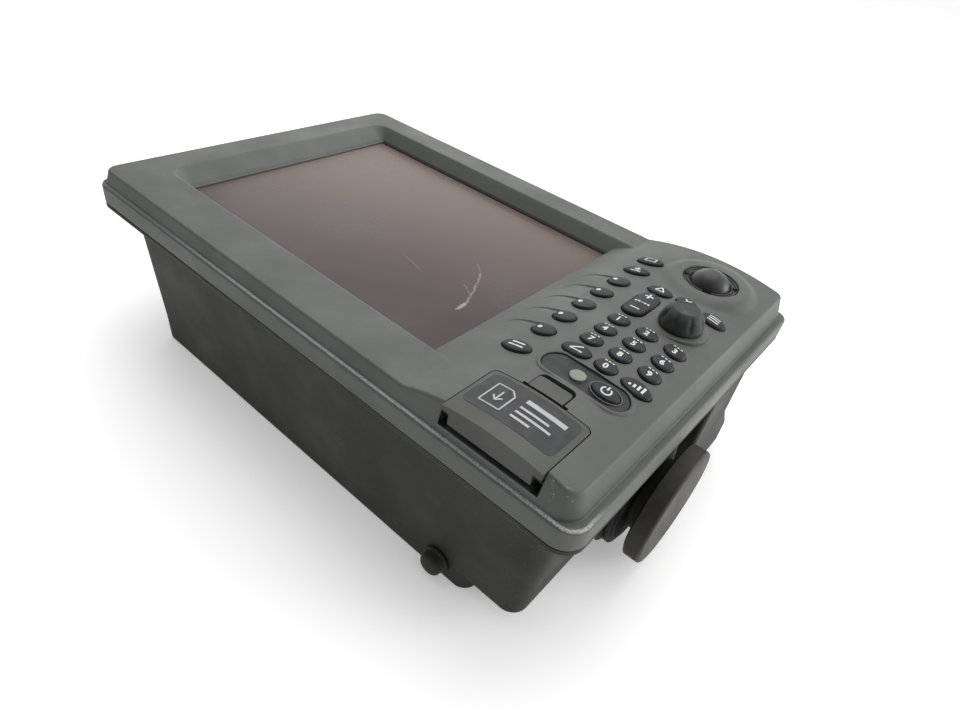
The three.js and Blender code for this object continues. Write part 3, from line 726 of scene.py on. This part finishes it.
def scoopTool(key):
    # A shallow scoop that starts at the screen's edge and sweeps over the top of a soft key.
    x, y = keys[key][:2]
    path = [(-22.4, -2.6), (-21.2, 0), (-19.2, 2.3), (-16.4, 3.9), (-13, 4.7), (-9.6, 5.1), (-6.4, 5.5),
            (-3.4, 6.1)]
    loops = []
    for i, (dx, dy) in enumerate(path):
        share = i / (len(path) - 1)
        depth, reach = 0.05 + 0.8 * share, 1.2 + 4.6 * share
        px, py = x + dx, y + dy
        top = barrelHeight(px)
        low = (px + 0.4 * reach, py - reach, barrelHeight(px + 0.4 * reach) + 0.02)
        loops.append([(px, py + 0.15, top + 1.6), (px, py + 0.15, top + 0.02),
                      (px + 0.15, py - 0.3, top - depth * 0.7), (px + 0.3, py - 0.75, top - depth), low,
                      (low[0], low[1], low[2] + 1.6)])
    return loft("tool", loops)


def moundBody():
    # A flat topped mound that runs out softly into the barrel.
    loops = [raised(dot(ball["x"], ball["y"], mound["foot"], mound["steps"]), mound["low"])]
    for share in (0, 0.1, 0.2, 0.3, 0.4, 0.5, 0.6, 0.7, 0.8, 0.9, 0.96, 1):
        r = mound["foot"] + (mound["flat"] - mound["foot"]) * share
        blend = share * share * (3 - 2 * share)
        foot = raised(dot(ball["x"], ball["y"], r, mound["steps"]), onBarrel(-mound["sunk"]))
        loops.append([(x, y, z + (mound["top"] - z) * blend) for x, y, z in foot])
    return loft("tool", loops)


def pillRim(grow, z):
    box = (pill["x"] - pill["width"] / 2, pill["y"] - pill["height"] / 2,
           pill["x"] + pill["width"] / 2, pill["y"] + pill["height"] / 2)
    return raised(rounded(box, pill["height"] / 2 - 0.01, 14, grow), z)


def flat(outline):
    return [(x, y) for x, y, z in outline]


def frontBezel():
    body = bezelBody()
    combine(body, moundBody(), "UNION")
    rim = [pillRim(grow, onBarrel(lift)) for grow, lift in pill["rim"]]
    combine(body, loft("tool", rim), "UNION")
    seat = turned("tool", [(0, 4), (14.6, 4), (14.6, 7.9), (14.3, 8.5), (13.6, 8.85), (0, 8.85)], 96)
    combine(body, shift(seat, enter["x"], enter["y"]), "UNION")
    # The hollow behind the face, deeper under the keys, the card bay and the latch.
    hollow = underBarrel(250.5, 343.3, 4, 220, -22, -3.0)
    cut(hollow, block(276, 337, -5, 37, -8.6, 20), block(292, 318, 30, 50.5, -8.6, 20))
    combine(body, combine(block(4, 249, 4, 220, -22, -12.2), hollow, "UNION"))
    combine(body, recessTool())
    for i in range(5):
        combine(body, scoopTool("key_soft_%d" % (i + 1)))
    for x, y, width, height in keys.values():
        combine(body, prism(oval(x, y, width + 0.7, height + 0.7), -2, 20))
    hole = [(0, -6), (15.9, -6), (15.9, 9.4), (16.1, 9.95), (16.5, 10.25), (17.1, 10.4), (17.1, 20), (0, 20)]
    cut(body, prism(rounded(rocker["box"], rocker["corner"], 10, 0.6), -2, 20),
        prism(flat(pillRim(0.3, 0)), -4, 20), shift(turned("tool", hole, 96), ball["x"], ball["y"]),
        shift(bar(4, -6, 20, 40), enter["x"], enter["y"]))
    x0, x1, y1 = lid["x0"], lid["x1"], lid["y1"]
    cut(body, prism(rounded((x0 - 0.5, -30, x1 + 0.5, y1 + 0.5), 3.2, 8), -5, 20),
        prism(rounded((296.3, y1 - 5, 315.3, 46.6), 3.2, 8), 3, 20))
    for x in (294.2, 315.0):
        combine(body, block(x, x + 2.4, y1 + 0.3, y1 + 1.9, 4, 20))
    pin = swung(bar(1.15, 277.2, 334, 24), "Y", 90)
    cut(body, block(287, 325, 8, 30, -30, 0), shift(pin, 0, lid["hingeY"], lid["hingeZ"]))
    return done(body, "bezel_front", "case", "case_front", ["front_bezel"], 28)


frontBezel()
print("bezel cut")


# Keys.

domes = {"rise": 1.5, "shoulder": 1.15, "crown": 0.55, "foot": -3.2, "footHeight": 1.4}


def keyOutline(name, steps=48):
    x, y, width, height = keys.get(name, powerKey)
    if not name.startswith("key_soft"):
        return oval(x, y, width, height, steps)
    points = []
    for i in range(steps):
        a = 2 * math.pi * i / steps
        c, s = math.cos(a), math.sin(a)
        reach = width / 2 * (c if c > 0 else -0.93 * abs(c) ** 0.55)
        points.append((x + reach, y + height / 2 * s * (1 - 0.1 * max(-c, 0))))
    return points


def domeTop(x, y, centre, size, rise):
    away = ((x - centre[0]) / size[0] * 2) ** 2 + ((y - centre[1]) / size[1] * 2) ** 2
    return barrelHeight(x) + rise - domes["crown"] * min(away, 1.2)


def domeKey(name, outline, centre, size, rise):
    def shrunk(by):
        return [(centre[0] + (x - centre[0]) * (1 - by / size[0] * 2),
                 centre[1] + (y - centre[1]) * (1 - by / size[1] * 2)) for x, y in outline]

    wide, sole = shrunk(-0.7), domes["foot"] + domes["footHeight"]
    loops = [raised(wide, domes["foot"]), raised(wide, sole), raised(outline, sole)]
    radius = domes["shoulder"]
    rise += domes["crown"] * 0.55
    for j in range(7):
        a = math.pi / 2 * j / 6
        inset, drop = radius * (1 - math.cos(a)), radius * (1 - math.sin(a))
        loops.append(raised(shrunk(inset), lambda x, y: domeTop(x, y, centre, size, rise) - drop))
    for share in (0.2, 0.4, 0.55, 0.7, 0.82, 0.93):
        inset = radius + (min(size) / 2 - radius) * share
        loops.append(raised(shrunk(inset), lambda x, y: domeTop(x, y, centre, size, rise)))
    return loft(name, loops)


def inkPart(outlines, height, material=None, thick=0.14, proud=0.14):
    # Flat printed shapes laid on a curved top, each a thin closed slip.
    made = []
    for outline in outlines:
        made.append(loft("ink", [raised(outline, lambda x, y: height(x, y) - thick),
                                 raised(outline, lambda x, y: height(x, y) + proud)]))
    first = painted(made[0], material or markInk)
    for other in made[1:]:
        work = bmesh.new()
        work.from_mesh(first.data)
        work.from_mesh(other.data)
        work.to_mesh(first.data)
        work.free()
        bpy.data.objects.remove(other)
    return first


def stroke(x0, y0, x1, y1, width):
    dx, dy = x1 - x0, y1 - y0
    length = math.hypot(dx, dy)
    nx, ny = -dy / length * width / 2, dx / length * width / 2
    pieces = max(int(length / 0.8), 1)
    low = [(x0 + dx * i / pieces, y0 + dy * i / pieces) for i in range(pieces + 1)]
    return [(x - nx, y - ny) for x, y in low] + [(x + nx, y + ny) for x, y in reversed(low)]


def numberPart(text, x, y, size, height):
    data = bpy.data.curves.new("number", "FONT")
    data.body, data.size, data.align_x, data.align_y = text, size, "CENTER", "CENTER"
    data.resolution_u = 3
    data.offset = size * 0.035
    item = bpy.data.objects.new("number", data)
    bpy.context.scene.collection.objects.link(item)
    graph = bpy.context.evaluated_depsgraph_get()
    mesh = bpy.data.meshes.new_from_object(item.evaluated_get(graph))
    bpy.data.objects.remove(item)
    work = bmesh.new()
    work.from_mesh(mesh)
    bmesh.ops.remove_doubles(work, verts=work.verts, dist=1e-4)
    grown = bmesh.ops.extrude_face_region(work, geom=list(work.faces))
    moved = {vert for vert in grown["geom"] if isinstance(vert, bmesh.types.BMVert)}
    for vert in work.verts:
        px, py = vert.co.x + x, vert.co.y + y
        vert.co = (px, py, height(px, py) + (0.2 if vert in moved else -0.14))
    bmesh.ops.recalc_face_normals(work, faces=work.faces)
    work.to_mesh(mesh)
    work.free()
    made = bpy.data.objects.new("number", mesh)
    bpy.context.scene.collection.objects.link(made)
    mesh.materials.clear()
    return painted(made, markInk)


# Plain signs instead of words. A stroke runs from x, y to x, y, seen from the key's middle, with a width.
signs = {
    "key_display": [(-3.1, -1.8, 3.1, -1.8, 0.75), (-3.1, 1.8, 3.1, 1.8, 0.75),
                    (-3.1, -1.8, -3.1, 1.8, 0.75), (3.1, -1.8, 3.1, 1.8, 0.75)],
    "key_save": [(0, 2.6, 0, -0.4, 0.9), (-1.7, 0.7, 0, -1.0, 0.8), (1.7, 0.7, 0, -1.0, 0.8),
                 (-3, -2.4, 3, -2.4, 0.85)],
    "key_hide": [(-3.4, 1.3, 3.4, 1.3, 1.1), (-3.8, -1.3, 3.8, -1.3, 1.1)],
    "key_alarm": [(-2.6, -1.8, 2.6, -1.8, 0.8), (-2.3, -1.7, 0, 2.3, 0.8), (2.3, -1.7, 0, 2.3, 0.8)],
    "key_clear": [(-1.8, -1.8, 1.8, 1.8, 0.85), (-1.8, 1.8, 1.8, -1.8, 0.85)],
    "key_menu": [(-3.2, 1.9 * i, 3.2, 1.9 * i, 0.8) for i in (1, 0, -1)],
    "key_bearing": [(-3.2, -1.9, 3.4, -1.9, 0.9), (-3.0, -1.8, 2.0, 2.3, 0.9)],
    "key_gain": [(-3.3 + 2.2 * i, -2.1, -3.3 + 2.2 * i, -0.9 + 1.05 * i, 1.15) for i in range(4)],
    "key_power": [(2.4 * math.cos(a), -0.3 + 2.4 * math.sin(a),
                   2.4 * math.cos(a + 0.52), -0.3 + 2.4 * math.sin(a + 0.52), 0.75)
                  for a in [math.radians(125 + 29 * i) for i in range(10)]] + [(0, 0.2, 0, 3.1, 0.8)],
    "digit": [(1.9 * i - 0.6, 2.7, 1.9 * i + 0.6, 2.7, 0.75) for i in (-1, 0, 1)],
    "rocker": [(-2.4, 8.2, 2.4, 8.2, 1.05), (0, 5.8, 0, 7.7, 1.05), (0, 8.7, 0, 10.6, 1.05),
               (-2.6, -7.8, 2.6, -7.8, 1.05)] +
              [(1.8 * i - 0.6, 0.4, 1.8 * i + 0.6, 0.4, 1.3) for i in (-2, -1, 0, 1, 2)],
}


def strokes(rows, x=0, y=0):
    return [stroke(x + x0, y + y0, x + x1, y + y1, width) for x0, y0, x1, y1, width in rows]


def keyMarks(name):
    x, y = keys.get(name, powerKey)[:2]
    if name.startswith("key_soft"):
        return [dot(x - 2.4, y - 0.35, 1.22, 24)]
    return strokes(signs["digit" if name[4:].isdigit() else name], x, y)


for name in [*keys, "key_power"]:
    x, y, width, height = keys.get(name, powerKey)
    rise = 0.9 if name == "key_power" else domes["rise"]
    top = rise + domes["crown"] * 0.55
    cap = painted(domeKey(name, keyOutline(name), (x, y), (width, height), rise), paint["keycap"])

    def onTop(px, py, centre=(x, y), size=(width, height), rise=top):
        return domeTop(px, py, centre, size, rise)

    parts = [inkPart(keyMarks(name), onTop)]
    if name[4:].isdigit():
        parts.append(numberPart(name[4:], x, y - 1.5, 4.8, onTop))
    done(joined(cap, *parts), name + "_cap", name, "keycap", [name], 50)


def rockerPiece():
    x0, y0, x1, y1 = rocker["box"]
    centre, size = ((x0 + x1) / 2, (y0 + y1) / 2), (x1 - x0, y1 - y0)

    def outline(inset):
        # Extra points along the straight sides let the top curve.
        corners, made = rounded(rocker["box"], rocker["corner"], 12, -inset), []
        for i, (ax, ay) in enumerate(corners):
            made.append((ax, ay))
            if i % 13 == 12:
                bx, by = corners[(i + 1) % len(corners)]
                cuts = rocker["cuts"]
                made += [(ax + (bx - ax) * k / cuts, ay + (by - ay) * k / cuts) for k in range(1, cuts)]
        return made

    def top(x, y):
        along = (y - centre[1]) / size[1] * 2
        across = (x - centre[0]) / size[0] * 2
        return barrelHeight(x) + 1.75 - 0.5 * across ** 2 - 0.35 * math.cos(along * math.pi) * 0.5

    loops = [raised(outline(0), domes["foot"] + 1.2)]
    for j in range(7):
        a = math.pi / 2 * j / 6
        inset, drop = 1.3 * (1 - math.cos(a)), 1.3 * (1 - math.sin(a))
        loops.append(raised(outline(inset), lambda x, y: top(x, y) - drop))
    for inset in (2.2, 3.2, 4.2, 5.0, 5.7):
        loops.append(raised(outline(inset), top))
    cap = painted(loft("rocker", loops), paint["keycap"])
    cap = joined(cap, inkPart(strokes(signs["rocker"], *centre), top))
    done(cap, "range_rocker_cap", "range_rocker", "keycap", ["range_rocker"], 50)


rockerPiece()
print("keys placed:", len(keys) + 2)


# Power panel, lens and ring.

def powerPanel():
    body = loft("panel", [pillRim(0, -1.5), pillRim(0, onBarrel(-0.7)), pillRim(-0.12, onBarrel(-0.38)),
                          pillRim(-0.4, onBarrel(-0.2))])
    x, y, width, height = powerKey
    cut(body, prism(oval(x, y, width + 0.8, height + 0.8), -3, 20),
        prism(dot(pill["lensX"], pill["y"], 4.3, 48), -10, 20))
    return done(body, "power_panel_gloss", "case", "gloss_panel", ["power_panel"], 30)


def ringMesh(name, loops):
    # A closed ring: the last loop joins the first one.
    points, faces, count = skin(loops + loops[:1])
    return meshObject(name, points, faces)


def band(name, centre, inner, outer, top, steps=72):
    # A thin flat ring that follows the barrel.
    rings = [(inner, -0.5), (inner, top), (outer, top), (outer, -0.5)]
    return ringMesh(name, [raised(oval(*centre, *size, steps), onBarrel(lift)) for size, lift in rings])


powerPanel()
keyWidth, keyHeight = powerKey[2:]
ring = band("ring", powerKey[:2], (keyWidth + 1.0, keyHeight + 1.0), (keyWidth + 1.9, keyHeight + 1.9), -0.05)
done(ring, "power_key_ring", "case", "lens", sharp=30, material=greyInk)
lens = turned("lens", [(0, -1.5), (4, -1.5), (4, 8.15), (3.85, 8.35), (3.4, 8.48), (1.8, 8.55), (0, 8.56)], 48)
done(shift(lens, pill["lensX"], pill["y"]), "light_lens_disc", "case", "lens", ["light_lens"], 40)


# Trackball, ring and knob.

slices = [math.radians(a) for a in range(-85, 90, 5)]
ballProfile = [(ball["radius"] * math.cos(a), ball["radius"] * math.sin(a)) for a in slices]
ballProfile = [(0, -ball["radius"]), *ballProfile, (0, ball["radius"])]
sphere = shift(turned("ball", ballProfile, 72), ball["x"], ball["y"], ball["z"])
done(sphere, "ball_polished", "trackball", "ball", ["trackball"], 60)

ringProfile = [(11.98, 7.2), (15.5, 7.2), (15.5, 9.25), (15.3, 9.45), (14.9, 9.5), (14.5, 9.3),
               (14.35, 8.9), (13.7, 8.8), (13.5, 9.2), (13.2, 9.35), (12.5, 9.3), (12.1, 9.05), (11.98, 8.7)]


def ringPiece(name, profile, steps, notches=()):
    item = ringMesh(name, [raised(dot(0, 0, r, steps), z) for r, z in profile])
    for angle in notches:
        combine(item, swung(block(12.6, 15.0, -2.4, 2.4, 8.2, 12), "Z", angle))
    return item


ring = shift(ringPiece("ballRing", ringProfile, 96, (15, 105, 195, 285)), ball["x"], ball["y"])
done(ring, "ball_ring_slotted", "case", "black_plastic", ["trackball_ring"], 35)


def gripRadius(r, z, angle):
    # Finger flutes that start above the skirt and run out at the top.
    low, high = enter["low"], enter["high"]
    share = (z - low - 1.6) / (high - low - 1.6)
    if share <= 0 or r < enter["top"] + 0.3:
        return r
    wave = 0.5 + 0.5 * math.cos(enter["flutes"] * angle)
    return r - (wave ** 5) * 0.95 * min(share * 3.2, 1) * (1 - 0.9 * max(share - 0.6, 0) / 0.4)


def enterPiece():
    low, high = enter["low"], enter["high"]
    base, top = enter["base"], enter["top"]
    side = [(0, low), (base - 0.5, low), (base - 0.1, low + 0.25), (base, low + 0.7), (base - 0.05, low + 1.3)]
    shoulder = [(0.15, 1.9), (0.45, 3.2), (0.8, 4.6), (1.2, 5.9), (1.6, 6.8), (2.2, 7.7), (3, 8.5), (3.9, 9.2)]
    side += [(base - inward, low + up) for inward, up in shoulder]
    side += [(top + 0.25, high - 0.28), (top - 0.2, high - 0.06), (top - 0.7, high),
             (top - 1.0, high - 0.08), (top - 1.2, high - 0.2), (3, high - 0.2), (0, high - 0.2)]
    grip = turned("grip", side, 144, gripRadius)
    combine(grip, bar(2.3, 0, 16.8))
    done(shift(grip, enter["x"], enter["y"]), "enter_knob_grip", "enter_knob", "knob_rubber", ["enter_knob"], 40)


enterPiece()
print("trackball and knob placed")


# Card lid and latch.

def cardLid():
    x0, x1, y1 = lid["x0"], lid["x1"], lid["y1"]
    shell = underBarrel(x0, x1, -0.4, y1, -2, 0, 40)
    outline = rounded((x0, -12, x1, y1), 2.8, 8)
    combine(shell, prism(outline, -6, 20), "INTERSECT")
    combine(shell, underBarrel(x0 - 1, x1 + 1, 2, y1 + 1, -3, -2.4, 40))
    for side in (x0 - 1, x1 - 4):
        combine(shell, block(side, side + 5, -1, 2.1, -3, 3.6))
    for x in (x0 + 4.6, x1 - 10.6):
        knuckle = block(x, x + 6, 1.6, lid["hingeY"] + 2, lid["hingeZ"] - 1.8, lid["hingeZ"] + 1.8)
        combine(shell, knuckle, "UNION")
    combine(shell, shift(swung(bar(1.2, 270, 340, 24), "Y", 90), 0, lid["hingeY"], lid["hingeZ"]))
    softened(shell, 0.45, 3, 30)
    done(shell, "lid_shell", "card_lid", "lid", ["card_lid"], 35)


def bentSheet(name, box, corner, lows, steps=44):
    # A rounded plate bent over the barrel: rows across X so that it follows the curve.
    x0, y0, x1, y1 = box
    ends = [corner * (1 - math.cos(math.pi / 2 * i / 8)) for i in range(9)]
    xs = [x0 + end for end in ends]
    xs += [x0 + corner + (x1 - x0 - 2 * corner) * i / steps for i in range(1, steps)]
    xs += [x1 - end for end in reversed(ends)]
    chain = []
    for x in xs:
        d = max(x0 + corner - x, x - x1 + corner, 0.0)
        cut = corner - math.sqrt(max(corner ** 2 - d ** 2, 0.0))
        chain.append((x, y0 + cut, y1 - cut))
    points, faces, n = [], [], len(chain)
    for lift in lows:
        points += [(x, a, barrelHeight(x, lift)) for x, a, b in chain]
        points += [(x, b, barrelHeight(x, lift)) for x, a, b in chain]
    low, high = 0, 2 * n
    for i in range(n - 1):
        faces.append((low + i, low + i + 1, low + n + i + 1, low + n + i))
        faces.append((high + i, high + i + 1, high + n + i + 1, high + n + i))
        faces.append((low + i, low + i + 1, high + i + 1, high + i))
        faces.append((low + n + i, low + n + i + 1, high + n + i + 1, high + n + i))
    for i in (0, n - 1):
        faces.append((low + i, low + n + i, high + n + i, high + i))
    return meshObject(name, points, faces)


# A plain card with a cut corner, an arrow into it, and short bars.
signs["label"] = [(288, 12.5, 288, 26.5, 0.7), (288, 26.5, 295.5, 26.5, 0.7), (295.5, 26.5, 298.5, 23.5, 0.7),
                  (298.5, 23.5, 298.5, 12.5, 0.7), (298.5, 12.5, 288, 12.5, 0.7), (293.2, 23, 293.2, 17, 0.8),
                  (290.9, 19, 293.2, 16.4, 0.8), (295.5, 19, 293.2, 16.4, 0.8), (303.5, 25.4, 323.5, 25.4, 2.6),
                  (303.5, 20.6, 318.0, 20.6, 1.3), (303.5, 17.2, 321.0, 17.2, 1.3),
                  (303.5, 13.8, 313.0, 13.8, 1.3)]


def lidLabel():
    plate = painted(bentSheet("plate", (282, 8, 328.2, 32), 3.5, (-0.5, 0.1)), paint["label"])
    marks = inkPart(strokes(signs["label"]), lambda x, y: barrelHeight(x, 0.1), labelInk)
    done(joined(plate, marks), "lid_label_plate", "card_lid", "gloss_panel", ["lid_label"], 35)


def lidLatch():
    # A rounded finger ridge next to the lid, with a scooped well behind it.
    x0, y0, x1, y1 = latch["box"]
    tab = underBarrel(x0, x1, y0, y1, latch["low"], latch["lift"], 24)
    combine(tab, prism(rounded((x0, y0 - 4.6, x1, y1), 2.6, 10), 0, 20), "INTERSECT")
    combine(tab, shift(swung(bar(latch["scoop"], 290, 320, 96), "Y", 90), 0, y1 + 2, latch["scoopZ"]))
    softened(tab, 0.8, 4, 40)
    done(tab, "lid_latch_tab", "lid_latch", "lid", ["lid_latch"], 35)


cardLid()
lidLabel()
lidLatch()
print("lid placed")


# Rear housing.

rear = {"top": (31, -1, 344, 225.2), "mid": (37.6, 2.5, 337.5, 221.7), "deep": (38.6, 2.8, 309, 221.4),
        "shallow": -90.5, "back": -103, "wall": 3, "seat": 340.6, "leftSeat": 35.6, "edge": 1.3}
axle = {"y": 94.5, "z": -63.8}
screws = [(54, 15), (54, 209), (298, 15), (298, 209)]
sockets = {"power_connector": (32, 9, 6.6), "data_connector": (160, 8, 5.8), "network_connector": (192, 8, 5.8)}
socketX = 323.5
vent = {"x": 289.2, "z": -92.5, "y": 1.8}
fins = {"count": 15, "x": 96, "pitch": 9, "depth": 1.7}


def sideBar(radius, x0, x1, steps=72):
    return shift(swung(bar(radius, x0, x1, steps), "Y", 90), 0, axle["y"], axle["z"])


def mirroredCopy(item):
    copy = item.copy()
    copy.data = item.data.copy()
    bpy.context.scene.collection.objects.link(copy)
    middle = rear["seat"] + rear["leftSeat"]
    copy.data.transform(Matrix.Translation((middle, 0, 0)) @ Matrix.Scale(-1, 4, (1, 0, 0)))
    copy.data.flip_normals()
    return copy


def shellBody(inset, topZ):
    # The deep part and the shallow part at the right. Only the outside has a rolled bottom edge.
    edge, turns = (0, (1,)) if inset else (rear["edge"], (0, 0.25, 0.5, 0.75, 1))

    def bottom(box, radius, z):
        loops = []
        for share in turns:
            a = math.pi / 2 * share
            outline = rounded(box, radius, 10, -inset - edge * (1 - math.sin(a)))
            loops.append(raised(outline, z + edge * (1 - math.cos(a))))
        return loops

    upper = bottom(rear["mid"], 9, rear["shallow"] + inset)
    upper.append(raised(rounded(rear["top"], 10, 10, -inset), topZ))
    step = (rear["mid"][0], rear["mid"][1], rear["deep"][2], rear["mid"][3])
    deep = bottom(rear["deep"], 8, rear["back"] + inset)
    deep.append(raised(rounded(step, 8, 10, -inset), rear["shallow"] + inset + 4))
    return combine(loft("shell", upper), loft("tool", deep), "UNION")


def shoulderBody():
    def section(wallTop, edgeTop, z):
        return [(333, 134.5, z), (352.4, 137, z), (352.4, edgeTop, z), (333, wallTop, z)]

    return loft("tool", [section(220, 206, -99.5), section(218, 203, -80), section(206, 182, -58),
                         section(206, 180, -22)])


# How far the lip's rim stands in, and its height, from the bottom up.
lipProfile = [(-1.6, case["lipBottom"]), (-0.75, -23.45), (-0.2, -22.9), (0, -22.2), (0, -21.4),
              (-0.25, -20.95), (-0.7, -20.7)]


def lipBody():
    outer = rimChain(bezel["flange"], bezel["outerCorner"], bezel["outerFarRight"], bezel["cornerSteps"])
    loops = []
    for d, z in lipProfile:
        loops.append([(x + nx * d, y + ny * d, z) for x, y, nx, ny in outer])
    return loft("lip", loops)


def rearHousing():
    side = softened(shoulderBody(), 2.2, 4, 30)
    combine(side, sideBar(36.5, 330, rear["seat"]), "UNION")
    otherSide = mirroredCopy(side)
    body = add(shellBody(0, case["seam"] - 1), side, otherSide, lipBody())
    combine(body, shellBody(rear["wall"], case["seam"] + 1))
    nut = sideBar(10, 322, 339)
    otherNut = mirroredCopy(nut)
    add(body, nut, otherNut)
    back = rear["back"]
    for x, y in screws:
        combine(body, shift(bar(6, back + 0.5, -62), x, y), "UNION")
    for radius, x0, x1 in ((5.4, 318, 350), (36.5, rear["seat"], 360)):
        bore = sideBar(radius, x0, x1)
        otherBore = mirroredCopy(bore)
        cut(body, bore, otherBore)
    hole = [(0, -110), (4.5, -110), (4.5, back - 0.01), (4, back + 0.5), (4, back + 3.4), (2.3, back + 3.4),
            (2.3, -66), (0, -66)]
    for x, y in screws:
        combine(body, shift(turned("tool", hole, 32), x, y))
    for y, radius, _ in sockets.values():
        combine(body, shift(bar(radius - 1.6, -100, -80, 40), socketX, y))
    combine(body, shift(swung(bar(3.3, -5, 12), "X", -90), vent["x"], 0, vent["z"]))
    # Cooling fins moulded into the back, cut as shallow channels.
    for i in range(fins["count"]):
        x = fins["x"] + fins["pitch"] * i
        combine(body, prism(rounded((x, 60, x + 4.5, 164), 2.2, 5), back - 2, back + fins["depth"]))
    done(body, "rear_shell", "case", "case_rear", ["rear_housing"], 30)


rearHousing()
print("rear housing cut")


def ventPiece():
    profile = [(0, -8), (3, -8), (3, 0), (7.4, 0), (7.6, 0.3), (7.6, 1.1), (7.3, 1.5), (6.4, 1.7),
               (6.2, 2.1), (6.2, 4.4), (6.0, 5.2), (5.4, 6.0), (4.4, 6.5), (2.6, 6.75), (0, 6.8)]
    item = swung(turned("vent", profile, 64), "X", 90)
    done(shift(item, vent["x"], vent["y"], vent["z"]), "vent_dome", "case", "case_rear", ["vent_plug"], 35)


def socketPiece(name, y, radius, bore):
    base = [(0, -12), (radius - 2, -12), (radius - 2, 0.3), (radius, 0.3), (radius, 1.6)]
    for i in range(6):
        z = 1.4 * i   # one grip groove above the other
        groove = ((0.1, 1.9), (0.55, 2.3), (0.55, 2.6), (0.1, 3.0))
        base += [(radius - inward, up + z) for inward, up in groove]
    base += [(radius - 0.3, 10.7), (radius - 0.7, 11), (bore + 0.4, 11), (bore, 10.6), (bore, 2), (0, 2)]
    item = painted(turned("socket", base, 56), paint["black_plastic"])
    pins = []
    count = 3 if name == "power_connector" else 6
    for i in range(count):
        a, reach = 2 * math.pi * i / count + 0.4, bore * 0.56
        pin = turned("pin", [(0, 1.5), (0.75, 1.5), (0.75, 7.2), (0.5, 7.7), (0, 7.8)], 16)
        pins.append(painted(shift(pin, reach * math.cos(a), reach * math.sin(a)), paint["steel"]))
    item = swung(joined(item, *pins), "X", 180)
    done(shift(item, socketX, y, rear["shallow"]), name + "_socket", "case", "black_plastic", [name], 32)


def caseScrew(i, x, y):
    profile = [(0, 0.1), (2.0, 0.1), (2.0, 18), (3.5, 18), (3.55, 18.4), (3.3, 19.4), (2.4, 20.1), (0, 20.4)]
    head = turned("screw", profile, 36)
    for turnBy in (0, 90):
        combine(head, swung(block(-1.9, 1.9, -0.35, 0.35, 19.1, 22), "Z", turnBy + 17 * i))
    swung(head, "X", 180)
    done(shift(head, x, y, rear["back"] + 21.4), "case_screw_%d" % (i + 1), "case", "steel", sharp=35)


ventPiece()
for name, (y, radius, bore) in sockets.items():
    socketPiece(name, y, radius, bore)
for i, (x, y) in enumerate(screws):
    caseScrew(i, x, y)
plate = prism(rounded((120, 14, 210, 44), 2.5, 6), rear["back"] - 0.02, rear["back"] + 0.5)
done(plate, "blank_plate", "case", "black_plastic", sharp=30, material=plateGrey)


# Mounting knobs.

knob = {"radius": 33.4, "face": 24.2, "back": 14.2, "ribs": 216, "ribDepth": 0.24, "steps": 864}


def ribbed(r, z, angle):
    if r > knob["radius"] - 0.25 and knob["back"] + 0.9 < z < knob["face"] - 1.9:
        return r - knob["ribDepth"] * (0.5 + 0.5 * math.cos(knob["ribs"] * angle)) ** 0.7
    return r


def onAxle(item, seat, turnY):
    return shift(swung(item, "Y", turnY), seat, axle["y"], axle["z"])


def mountKnob(side, seat, turnY):
    r, face, back = knob["radius"], knob["face"], knob["back"]
    profile = [(0, -24), (4.6, -24), (5, -23.5), (5, 7.6), (19.6, 7.6), (20.2, 7.9), (22, back - 0.3),
               (31.6, back - 0.3), (32.6, back + 0.1), (r - 0.3, back + 0.5), (r, back + 0.85), (r, back + 1.1),
               (r, face - 2.2), (r, face - 1.9), (r - 0.1, face - 1.4), (r - 0.5, face - 0.85),
               (r - 1.2, face - 0.45), (r - 2.2, face - 0.3), (26, face - 0.16), (18, face - 0.06), (9, face),
               (0, face)]
    item = painted(painted(turned("knob", profile, knob["steps"], ribbed), paint["mount_knob"]), rimDark)
    for facet in item.data.polygons:
        facet.material_index = 1 if facet.center.z < face - 2.0 else 0
    done(onAxle(item, seat, turnY), side + "_knob_disc", side + "_knob", "mount_knob", [side + "_knob"], 40)
    rings = [(5.6, 0.4), (33.6, 0.4), (34, 0.7), (34, 2.5), (33.5, 2.9), (32.6, 3.0), (32.6, 3.5),
             (33.5, 3.6), (34, 4.0), (34, 5.4), (33.6, 5.8), (30.6, 6.2), (30, 6.6), (29.6, 7.1), (5.6, 7.15)]
    washer = onAxle(ringPiece("washer", rings, 120), seat, turnY)
    done(washer, side + "_washer_stack", side + "_washer", "seal", [side + "_washer"], 35)


mountKnob("right", rear["seat"], 90)
mountKnob("left", rear["leftSeat"], -90)
print("mounting knobs placed")
